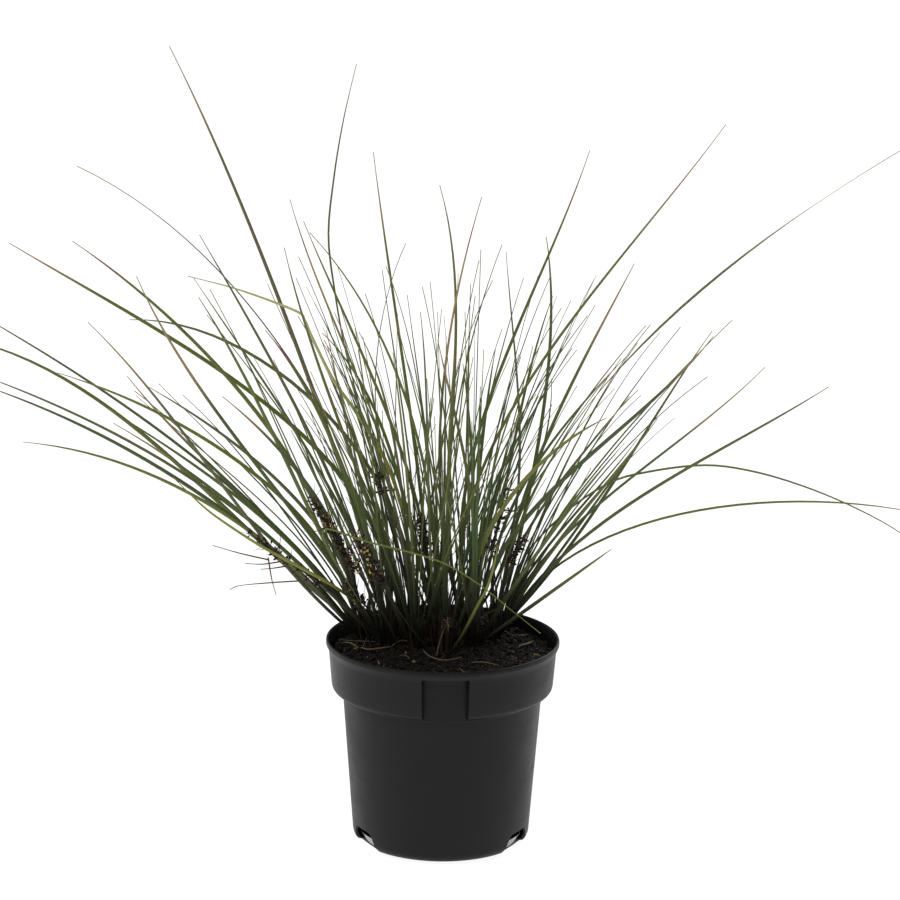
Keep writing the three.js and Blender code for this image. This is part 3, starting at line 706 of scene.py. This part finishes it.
def ownLeaves(shoot):
    for leaf in shoot["blades"] + (innerLeaves if shoot is foldedShoot else []):
        kind = blade["seen" if leaf["seen"] else "drawn"]
        if "path" in leaf:
            line = smoothPath(ownPaths[leaf["path"]], 44)
        else:
            line = leafLine(leaf["handles"], blade["steps"])
            line = line[:round(len(line) * kind["shown"])]  # drawn leaves are dry and gone at the tip
        roll = rollToCamera(line) + leaf.get("turn", pick(-1, 1) * kind["turn"])
        twist = leaf.get("twist", pick(-1, 1) * kind["twist"])
        tone, dry = pick(0, 1), max(0, chance.normal(0.15, 0.3))
        taper = leaf.get("taper", pick(*kind["taper"]))
        wider = kind["wider"] * (blade["leftWider"] if leaf["seen"] and line[-1][0] < blade["leftEdge"] else 1)
        # each leaf's painted shade share comes from its row or is drawn by chance
        yield bladeLine(
            rooted(line), leaf["width"] * wider, roll, twist, taper, tone=tone,
            shade=leaf.get("shade", kind["shade"] * pick(0, 1) ** 1.4), dry=leaf.get("dry", min(dry, 1)),
            pale=leaf.get("pale", max(0, chance.normal(0, 0.18))), red=leaf.get("red", 0.0),
            plum=leaf.get("plum", kind["plum"] * pick(0, 1) ** 1.5))


def smallLines(shoot):
    x, y = shoot["at"]
    feet = shoot["feet"]
    for _ in range(blade["thinPerShoot"]):  # young and thin leaves between them
        turn, lean, length = pick(0, 2 * pi), radians(pick(4, 30)), pick(40, 140)
        start = np.array((x + pick(-3.5, 3.5), y + pick(-2.5, 2.5), plant["rootHeight"]))
        tip = start + np.array(around(sin(lean), turn, cos(lean))) * length
        yield bladeLine(
            rooted(bowed(start, tip, pick(0, 18), pick(0, 18), 14)), pick(0.7, 1.2), pick(-1.5, 1.5), pick(-1, 1),
            tone=pick(0, 1), shade=pick(0, 0.8), dry=float(pick() < 0.25), plum=0.6 * float(pick() < 0.12))
    for i in range(blade["sheathsPerShoot"] * len(feet)):  # short brown scale leaves round the foot
        start, out = besideFoot(feet[i % len(feet)], (3.2, 2.4))
        start[2] += 1
        tip = start + out * pick(0.5, 5) + (0, 0, pick(9, 27))
        yield bladeLine(
            rooted(bowed(start, tip, pick(-10, 5), pick(-5, 15), 7)), pick(2.6, 4.4), pick(-0.3, 0.3), 0,
            pick(1.3, 2), 1.0, tone=pick(0, 1), sheath=pick(0.3, 1))
    for i in range(blade["fibresPerShoot"] * len(feet)):  # the frayed threads of old sheaths
        start, _ = besideFoot(feet[i % len(feet)], (3.5, 2.8))
        start[2] += pick(1, 9)
        tip = start + chance.normal(0, 5, 3) * (1, 1, 0.4) + (0, 0, pick(4, 13))
        yield bladeLine(bowed(start, tip, pick(-50, 50), pick(-50, 50), 5), pick(0.2, 0.45), 0, 0, 2, 1.0,
                        tone=pick(0, 1), sheath=1.0)


for shoot in shoots:
    name = "leaf_tuft_%02d" % (shoot["owner"] + 1)
    bladePiece(name + "_blades", [*ownLeaves(shoot), *smallLines(shoot)], leafLook, "leaf", name)
print("leaf tufts grown")

# Flower spikes: a stalk, whorls of small flowers and buds, and needle bracts
spikeSizes = {"whorlStep": 2.6, "perWhorl": 8, "stalk": 0.55, "seed": 5, "steps": 90, "inMix": 8}


def lathed(name, rings, sides, field):  # rings of radius, height, how far every other side is pulled in, and a number
    points = [around(radius * (1 - pull * (i % 2)) * mm, 2 * pi * i / sides, height * mm)
              for radius, height, pull, _ in rings for i in range(sides)]
    faces = [(a, d, c, b) for a, b, c, d in tubeFaces(len(rings), sides)]
    faces += [tuple(reversed(range(sides))), tuple(range(len(points) - sides, len(points)))]
    piece = added(name, points, faces)
    noted(piece.data, field, np.repeat([ring[3] for ring in rings], sides))
    return piece


def packed(name, pieces):  # a collection that the growers pick from
    group = bpy.data.collections.new(name)
    for piece in pieces:
        scene.collection.objects.unlink(piece)
        group.objects.link(piece)
    return group


def dropped(group):
    for piece in list(group.objects):
        bpy.data.objects.remove(piece)
    bpy.data.collections.remove(group)


def spikeGrower():
    tree = Grower("grow_spike", Flowers="Collection", Needles="Collection", Step="Float", Count="Int",
                  Stalk="Float", Seed="Int", Material="Material")
    lines, flowers, needles, step, count, stalk, seed, material = tree.asked
    curve = tree.node("MeshToCurve", {"Mesh": lines})
    section = tree.node("CurvePrimitiveCircle", {"Resolution": 7, "Radius": stalk})
    stem = tree.keep(tree.swept(curve, section, "stalkScale"), "needle", 0.12)
    points = tree.node("CurveToPoints", {"Curve": curve, "Length": step}, mode="LENGTH")

    def whorls(pieces, howMany, tilts, sizes, first):
        cloud = tree.node("DuplicateElements", {
            "Geometry": points, "Amount": howMany, "Selection": tree.named("inHead").above(0.5)}, domain="POINT")
        angle = cloud.other("Duplicate Index") * (2 * pi / 8) + tree.draw(-0.5, 0.5, seed + first)
        turns = (((0, 0, 1), angle + tree.node("InputIndex") * 0.37),
                 ((0, 1, 0), tree.draw(*tilts, seed + (first + 1))))
        turned = points.other("Rotation")
        for axis, angle in turns:
            turn = tree.node("AxisAngleToRotation", {"Axis": axis, "Angle": angle})
            turned = tree.node("RotateRotation", {0: turned, 1: turn}, rotation_space="LOCAL")
        shift = tree.draw((-0.0012,) * 3, (0.0012,) * 3, seed + (first + 2), "FLOAT_VECTOR")
        cloud = tree.node("SetPosition", {"Geometry": cloud, "Offset": shift})
        size = tree.draw(*sizes, seed + (first + 3)) * tree.named("headSize")
        return tree.placed(cloud, pieces, 3, turned, size, seed + (first + 4))

    heads = whorls(flowers, count, (0.75, 1.5), (0.75, 1.2), 10)
    bracts = whorls(needles, 3, (0.5, 1.4), (0.5, 1.4), 40)
    return tree.finish(tree.join(stem, heads, bracts), material, False)


def flowerShapes():  # an open star and three closed buds, each on a short stalk
    star = [(0.62, 0.9, 0, 0.5), (1.05, 1.5, 0.5, 1), (0.4, 1.25, 0.1, 1), (0.12, 1.1, 0, 0.6)]
    bud = [(0.78, 1, 0.15, 0.05), (0.5, 1.6, 0.1, 0), (0.1, 2, 0, 0)]
    for i, (top, length) in enumerate([(star, 1.0), (bud, 0.8), (bud, 1.15), (bud, 0.95)]):
        foot = 1.3 + 0.35 * i
        rings = [(r, foot + z * length, pull, bloom) for r, z, pull, bloom in [(0.62, 0.5, 0.1, 0)] + top]
        yield lathed("flower_%d" % i, [(0.20, 0, 0, 0), (0.24, foot, 0, 0)] + rings, 6, "bloom")


def needleShapes():
    for i, length in enumerate((6, 10, 14, 8)):
        rings = [(r, length * z, 0, 1) for r, z in ((0.26, 0), (0.24, 0.3), (0.18, 0.65), (0.05, 1))]
        needle = lathed("needle_%d" % i, rings, 3, "needle")
        for point in needle.data.vertices:  # each curves back a little
            point.co.x -= 0.16 * point.co.z ** 2 / (length * mm)
        yield needle


spikeTree = spikeGrower()
flowers, needles = packed("flowers", flowerShapes()), packed("needles", needleShapes())
for i, spike in enumerate(spikes):
    name = "flower_spike_%d" % (i + 1)
    line = leafLine(spike["handles"], spikeSizes["steps"])
    line = np.vstack([line[0] - (0, 0, spikeSizes["inMix"]), line])
    left = np.append(np.cumsum(norm(np.diff(line, axis=0), axis=1)[::-1])[::-1], 0)  # to the tip
    gaps, head = spike["gaps"], spike["head"]
    mesh = lineMesh(name + "_line", [{
        "points": line * mm, "inHead": (left < head) & (np.sin(left * gaps) >= (0.3 if gaps else 0)),
        "stalkScale": np.clip(0.45 + left / head, 0.45, 1.0), "headSize": 0.75 + 0.25 * np.clip(left / 12, 0, 1),
        "tone": spike["bloom"]}])
    piece = grown(name + "_detail", mesh, spikeTree, Flowers=flowers, Needles=needles,
                  Step=spikeSizes["whorlStep"] * mm, Count=spikeSizes["perWhorl"],
                  Stalk=spikeSizes["stalk"] * mm, Seed=spikeSizes["seed"] + 7 * i, Material=spikeLook)
    settle(piece, "flower_spike", name)
dropped(flowers)
dropped(needles)
longBracts = [  # of the lowest spike on the left
    [(-104, -18, 178), (-120, -26, 184), (-136, -34, 191)], [(-96.5, -18, 177), (-107, -24, 177), (-117, -30, 179)],
    [(-93, -17, 174), (-101, -22, 174), (-108, -28, 175)], [(-104, -20, 180), (-101.5, -24, 167), (-99, -24, 158)],
    [(-85, -12, 163.5), (-103, -22, 165), (-120, -32, 166), (-126, -34, 164)]]
lines = [smoothPath(path, 12) for path in longBracts]
lines = [bladeLine(line, 1.0, rollToCamera(line), 0.6, 1.6, 1.0, tone=0.4) for line in lines]
bladePiece("long_bracts", lines, strawLook, "flower_spike")
print("flower spikes grown")

# Pot: a column of heights and radii turned round the axis, with the label recess and the drainage notches
pot = {"columns": 180, "recess": (-10, 13.5), "panel": 62.5, "panelLow": 93.7, "panelHigh": 119.8, "side": 1.2,
       "edge": 0.11, "innerWall": 33, "wallFrom": 37, "near": 0.15, "nearPlate": 0.4, "notches": (-61, 61, 180),
       "plateHalf": 19, "crease": 32}
# Outer wall from the base up to the rim, and the inner wall back down: radius and height, then those at the recess
potColumn = [
    (0, 0), (25, 0), (44.8, 0), (46.0, 0.12), (48.6, 0.8), (51.2, 1.8), (52.7, 3.6), (53.3, 5.2), (53.5, 6.5),
    (54.9, 25), (56.4, 45), (57.9, 65), (59.9, 91.4), (59.95, 91.9), (60.2, 92.25), (61.5, 93.0), (62.4, 93.5),
    (63.4, 94.05, 62.5, 93.65), (64.6, 94.55, 62.5, 94.0), (65.6, 95.2, 62.5, 95.0), (66.3, 96.2, 62.5, 96.5),
    (66.7, 97.8, 62.5, 98.5), (67.6, 108, 62.5, 108), (68.4, 118.1, 62.5, 119.6), (68.6, 118.9, 62.8, 119.95),
    (69.0, 120.0, 68.8, 120.05), (69.4, 121.1, 69.35, 120.9), (69.75, 121.9), (70.1, 122.4), (70.2, 122.8),
    (70.2, 124.6), (70.0, 125.25), (69.55, 125.5), (69.05, 125.45), (68.7, 125.1), (68.35, 124.3),
    (67.7, 121.8, 67.6, 121.5), (67.4, 121.0, 61.4, 121.3), (67.0, 117, 61.2, 121.0), (66.3, 108, 61.2, 110),
    (65.5, 98.4, 61.2, 99), (64.7, 96.9, 61.2, 96.5), (62.9, 95.3, 61.2, 94.4), (61.0, 94.2), (58.9, 92.95),
    (58.6, 92.4), (55.05, 45), (52.2, 7.2), (50.4, 3.0), (45.4, 1.6), (20, 1.6), (0, 1.6)]
# Each drainage notch: half the outline of its arch, and the plate that closes it behind
notchArch = [(14.5, -1), (13.3, 2.6), (11.6, 6.6), (10.2, 9.4), (8.9, 11.2), (7.3, 12.2), (5.5, 12.5)]
notchDepth = (46.8, 61)
notchPlate = [(46, 0), (44.4, 1.2), (49.0, 7.7), (50.3, 7.4)]


def potSurface():
    (low, high), side = pot["recess"], pot["side"]
    edges = [low, high, low - side, high + side]
    angles = [a for a in np.linspace(-180, 180, pot["columns"] + 1)[:-1] if min(abs(a - e) for e in edges) > 0.5]
    angles = sorted(angles + [e + shift for e in edges for shift in (-pot["edge"], pot["edge"])])
    points, rows = [], len(potColumn)
    for angle in angles:
        for i, row in enumerate(potColumn):
            wider = side if i >= pot["innerWall"] else 0
            r, z = row[-2:] if low - wider < angle < high + wider else row[:2]
            points.append(around(r, radians(angle - 90), z))
    starts = range(0, len(points), rows)  # of the columns, each joined to the next
    faces = [(a + i, b + i, b + i + 1, a + i + 1) for a, b in zip(starts, [*starts[1:], 0]) for i in range(rows - 1)]
    return added("pot_shell", np.array(points) * mm, faces, potLook)


def ringSector(name, angle, halfAngle, section, steps):  # a section swept round the axis over a few degrees
    turns = np.radians(np.linspace(angle - halfAngle, angle + halfAngle, steps + 1) - 90)
    points, count = [around(r, turn, z) for turn in turns for r, z in section], len(section)
    faces = tubeFaces(steps + 1, count)
    faces += [tuple(range(count)), tuple(reversed(range(steps * count, (steps + 1) * count)))]
    return added(name, np.array(points) * mm, faces, potLook)


def notchCutter(angle):
    outline = [(-x, z) for x, z in notchArch] + notchArch[::-1]
    turn = Matrix.Rotation(radians(angle), 3, "Z")
    points = [turn @ Vector((x, -depth, z)) * mm for depth in notchDepth for x, z in outline]
    count = len(outline)
    faces = [tuple(range(count)), tuple(reversed(range(count, 2 * count)))]
    return added("notch_cut", points, faces + tubeFaces(2, count), potLook)


def combined(piece, other, operation):
    modifier = piece.modifiers.new(operation, "BOOLEAN")
    modifier.operation, modifier.object, modifier.solver = operation, other, "EXACT"
    flattened(piece)
    bpy.data.objects.remove(other)


potPiece = merged(potSurface())
for angle in pot["notches"]:
    combined(potPiece, merged(notchCutter(angle)), "DIFFERENCE")
    combined(potPiece, merged(ringSector("notch_plate", angle, pot["plateHalf"], notchPlate, 12)), "UNION")
potPiece.data.set_sharp_from_angle(angle=radians(pot["crease"]))
(plateFoot, _), (plateHead, plateTop) = notchPlate[0], notchPlate[3]
panel, plate = [], []  # the label's recessed back wall, darker partly by its own surface and partly by painted shade, and the plates behind the notches, glossy and painted light grey as a floor reflection
for face in potPiece.data.polygons:
    radius, height = face.center.to_2d().length / mm, face.center.z / mm
    panel.append(abs(radius - pot["panel"]) < pot["near"] and pot["panelLow"] < height < pot["panelHigh"]
                 and face.normal.dot(face.center) > 0)
    slope = plateFoot + (plateHead - plateFoot) * height / plateTop
    plate.append(abs(radius - slope) < pot["nearPlate"] and height < plateTop and face.normal.z < -0.2)
noted(potPiece.data, "panel", panel, "FACE")
noted(potPiece.data, "plate", plate, "FACE")
settle(potPiece, "pot_plastic", "pot")
print("pot made:", len(potPiece.data.polygons), "faces")

# Potting mix: a closed body with a rough top, and bark chips scattered on it
mix = {"rings": 44, "sides": 150, "edge": 66.3, "edgeInside": 60.9, "edgeSide": 1, "boxSide": 5, "topAbove": 112.5,
       "heights": (112, 100, 98, 96.5, 94.4, 93.2, 92.4, 84, 60, 30, 13.5, 10.2, 1.9),
       "foot": ((1.9, 43.8), (10.2, 49.3), (13.5, 51.9), (14, 90)), "rough": 0.55, "seed": 12, "density": 2.0e6,
       "layers": (("bark_chips", 1.4, 1.3, 3.6, 3), ("bark_crumbs", 1.05, 0.5, 1.5, 8),
                  ("bark_lumps", 6.0, 2.8, 5.2, 21))}


def wallRadius(height):  # inside of the pot at a height
    radii, heights = zip(*[row[:2] for row in potColumn[:pot["wallFrom"] - 1:-1]])
    return float(np.interp(height, heights, radii))


def edgeAt(angle, beside):  # how far the mix reaches, less behind the recess
    low, high = pot["recess"]
    return mix["edgeInside"] if low - beside < angle < high + beside else mix["edge"]


def mixSurface():
    dice = np.random.default_rng(mix["seed"])
    waves = [(dice.uniform(0.6, 2.3), dice.uniform(0, 2 * pi), dice.uniform(0, 2 * pi)) for _ in range(9)]
    sides, rings = mix["sides"], mix["rings"]

    def lift(x, y):
        rough = sum(sin(f * (x * cos(t) + y * sin(t)) + p) for f, t, p in waves)
        return (x, y, float(soilHeight(x, y)) + mix["rough"] * rough / 3)

    angles = [-180 + 360 * s / sides for s in range(sides)]
    edges = [(edgeAt(angle, pot["side"] + mix["edgeSide"]), radians(angle - 90)) for angle in angles]
    points = [lift(*around(edge * ring / rings, turn, 0)[:2]) for ring in range(1, rings + 1) for edge, turn in edges]
    for height in mix["heights"]:  # down the inside of the wall
        widest = min(wallRadius(height) - 0.3, float(np.interp(height, *zip(*mix["foot"]))))
        points += [around(min(edge, widest), turn, height) for edge, turn in edges]
    count = len(points)
    faces = tubeFaces(count // sides, sides)
    for s in range(sides):
        after = (s + 1) % sides
        faces += [(count, s, after), (count + 1, count - sides + after, count - sides + s)]
    points += [lift(0, 0), (0, 0, mix["heights"][-1])]
    return added("potting_mix_top", np.array(points) * mm, faces, barkLook)


def chipShape(name, dice, size):  # one irregular chip: a ball whose corners are drawn in and out
    shape = bmesh.new()
    bmesh.ops.create_icosphere(shape, subdivisions=1, radius=0.5)
    for point in shape.verts:
        point.co = Vector([c * s * dice.uniform(0.65, 1.2) for c, s in zip(point.co, size)])
    mesh = bpy.data.meshes.new(name)
    shape.to_mesh(mesh)
    shape.free()
    return linked(name, mesh)


def chipGrower():
    tree = Grower("scatter_chips", Chips="Collection", Spacing="Float", Density="Float", Smallest="Float",
                  Largest="Float", Seed="Int", Material="Material")
    ground, chips, spacing, density, low, high, seed, material = tree.asked
    cloud = tree.node("DistributePointsOnFaces", {
        "Mesh": ground, "Selection": tree.named("topside").above(high * 0.9 + 0.0002), "Distance Min": spacing,
        "Density Max": density, "Seed": seed}, distribute_method="POISSON")
    turn = tree.draw((-0.8, -0.8, 0), (0.8, 0.8, 2 * pi), seed + 1, "FLOAT_VECTOR")
    size = tree.draw(0, 1, seed + 2)
    size = low + size * size * (high - low)
    cloud = tree.node("SetPosition", {"Geometry": cloud, "Offset": tree.vector(0, 0, size * 0.16)})
    turn = tree.node("EulerToRotation", {0: turn})
    placed = tree.placed(cloud, chips, 5, turn, size, seed + 3)
    placed = tree.keep(placed, "tone", tree.draw(0, 1, seed + 4), "INSTANCE")
    return tree.finish(placed, material, False)


def toWall(face):  # how far the wall is from a face of the top, so that no chip goes through it
    x, y = face.center.to_2d() / mm
    edge = edgeAt(degrees(atan2(x, -y)), mix["boxSide"])
    return (edge - hypot(x, y)) * mm if face.center.z > mix["topAbove"] * mm else 0


mixPiece = mixSurface()
noted(mixPiece.data, "topside", [toWall(face) for face in mixPiece.data.polygons], "FACE")
dice = np.random.default_rng(mix["seed"])
chipSizes = [(1, 0.8, 0.5), (1.3, 0.6, 0.4), (0.9, 0.9, 0.7), (1.6, 0.5, 0.35), (1.1, 1.0, 0.35), (1.9, 0.35, 0.3)]
chips = packed("chips", [chipShape("chip_%d" % i, dice, size) for i, size in enumerate(chipSizes)])
chipTree = chipGrower()
for name, spacing, low, high, seed in mix["layers"]:
    scattered = grown(name, mixPiece.data.copy(), chipTree, Chips=chips, Spacing=spacing * mm, Density=mix["density"],
                      Smallest=low * mm, Largest=high * mm, Seed=seed, Material=barkLook)
    settle(scattered, "bark_mix")
    print(name, len(scattered.data.polygons))
dropped(chips)
settle(merged(mixPiece), "bark_mix", "potting_mix")
print("mix made")

# Dry leaves: fallen curls on the mix, and a few threads
litter = {"seed": 31, "threads": 9, "fibres": 18, "reach": 60, "edge": 62, "fold": 0.7, "sides": 6}
litterPaths = [  # points, width, curl
    ([(-61, 9), (-58, 7.5), (-55, 6), (-50, -1)], 1.7, 0.6),
    ([(-49, -4), (-44.7, -8.9), (-38.8, -6.7), (-34.1, -2.4), (-30.5, 1.7)], 1.7, 0.3),
    ([(17.5, -33.3), (25.2, -33.9), (33.5, -35.6)], 1.2, 0.3),
    ([(-11.6, -9.6), (-9.9, -18.5), (-7.3, -25), (-4.4, -29.4), (-1.1, -32), (2.1, -31.9), (6, -29.4), (9.2, -25.7),
      (11.6, -22.4)], 1.2, 0.2),
    ([(46, 2), (52, 8), (55, 18)], 1.8, 0.5), ([(42, 30), (47, 26), (52, 30)], 1.8, 0.5)]
threadPaths = [  # thin stems and a loose thread that the photograph shows: points, width, height above the mix
    ([(-63.5, 11.2), (-62.1, 10.7), (-53, 8), (-40.9, 8.4)], 0.9, 2.4),
    ([(-30.5, 1.7), (-28.8, 3.8), (-25.8, 7.4), (-22.8, 7.7), (-19.1, 3.2)], 1.2, 2.4),
    ([(-46.5, 34), (-45.8, 22), (-47.9, -1.6)], 0.6, 2.2), ([(31.8, 36.1), (37.9, 31.1), (43.2, 21)], 1.0, 2.2),
    ([(20, 20), (25, 14), (27, 8)], 1.3, 2.0)]
raised = [  # a dry leaf on the right of the crown, and a torn sheath in front with a tuft of fibres at its top
    ([(14, 13, 122), (24, 12, 134.9), (28.9, 12, 138.3), (33.9, 12, 141.3)], 1.5),
    ([(-4, -12, 116), (-1.9, -12, 125.8), (0.1, -12, 132.7), (2.7, -12, 138.7)], 1.4)]
tornEnd = raised[1][0][-1]


def litterLine(path, width, curl, lift, tone):
    line = smoothPath([(x, y, 0) for x, y in path], 18)
    share = np.linspace(0, 1, len(line))
    first, last = soilHeight(line[[0, -1], 0], line[[0, -1], 1])
    line[:, 2] = first * (1 - share) + last * share + lift + 0.9 * np.sin(pi * share)
    return bladeLine(line, width, curl, 1.5 * curl, 2.2, 0.6, tone=tone)


dice = np.random.default_rng(litter["seed"])
pick = dice.uniform
for i, (path, width, curl) in enumerate(litterPaths):
    name = "dry_leaf_%d" % (i + 1)
    line = litterLine(path, width, curl, 1.9, pick(0, 1))
    bladePiece(name + "_curl", [line], strawLook, "dry_leaf", name, fold=litter["fold"])
threads = [litterLine(path, width, 0.3, lift, pick(0, 1)) for path, width, lift in threadPaths]
for points, width in raised:
    line = smoothPath(points, 20)
    threads.append(bladeLine(line, width, rollToCamera(line), 0.5, 2.0, 0.8, tone=0.2))
for _ in range(litter["fibres"]):
    way = dice.normal(0, 1, 3) * (1, 0.6, 0.8)
    end = np.array(tornEnd) + way * pick(3.0, 5.5) / norm(way)
    line = bowed(tornEnd, end, pick(-20, 20), pick(-20, 20), 5)
    threads.append(bladeLine(line, 0.55, 0, 0, 2.0, 1.0, tone=0.1))
for _ in range(litter["threads"]):
    turn, r = pick(0, 2 * pi), litter["reach"] * sqrt(pick(0.1, 0.9))
    start, way = np.array(around(r, turn, 0)[:2]), dice.normal(0, 1, 2)
    way *= pick(4, 13) / norm(way)
    bend = np.array((-way[1], way[0])) * pick(-0.3, 0.3)
    if hypot(*(start + way)) < litter["edge"]:
        path = [start, start + way / 2 + bend, start + way]
        threads.append(litterLine(path, pick(0.35, 0.9), 0.4, 1.2, pick(0, 1)))
bladePiece("litter_threads", threads, strawLook, "dry_leaf", sides=litter["sides"])
print("litter made")

# Floor, light and background
stage = {"floor": 12.0, "floorDrop": 0.0004, "floorColour": 0.2, "floorGlow": 0.93, "sky": 0.8, "key": 34.0,
         "aim": (0, 0, 0.2)}
floorLook = Finish("pale_floor")
floorLook.set(Base_Color=(*(stage["floorColour"],) * 3, 1), Roughness=0.9, Emission_Color=(1, 1, 1, 1),
              Emission_Strength=stage["floorGlow"])
half, low = stage["floor"] / 2, -stage["floorDrop"]
corners = [(-half, -half, low), (half, -half, low), (half, half, low), (-half, half, low)]
added("floor", corners, [(0, 1, 2, 3)], floorLook.material)
for name, place, size, power in (("soft_key", (-1.3, -1.4, 2.2), 1.6, 1), ("back_fill", (1.5, 1.6, 1.6), 1.8, 0.7)):
    lamp = bpy.data.lights.new(name, "AREA")
    lamp.shape, lamp.size, lamp.energy = "DISK", size, stage["key"] * power
    holder = linked(name, lamp)
    holder.location = place
    holder.rotation_euler = (Vector(stage["aim"]) - Vector(place)).to_track_quat("-Z", "Y").to_euler()
world = scene.world = bpy.data.worlds.new("studio")
world.use_nodes = True
world.node_tree.nodes.clear()
sky = Kit(world.node_tree)
way = sky.node("TexCoord", out="Generated")
front, up = sky.part(way, 1), sky.part(way, 2)
glow = (front * 0.5 + 0.5).eased(0.0, 1.0, 0.15, 1.0) * up.eased(-0.2, 0.9, 0.5, 1.0) * stage["sky"]
glow = sky.mix(sky.node("LightPath", out="Is Camera Ray"), sky.vector(glow, glow, glow), (1.0, 1.0, 1.0))
sky.node("OutputWorld", {"Surface": sky.node("Background", {"Color": glow, "Strength": 1.0})})
scene.view_settings.view_transform = "Standard"
print("studio ready")
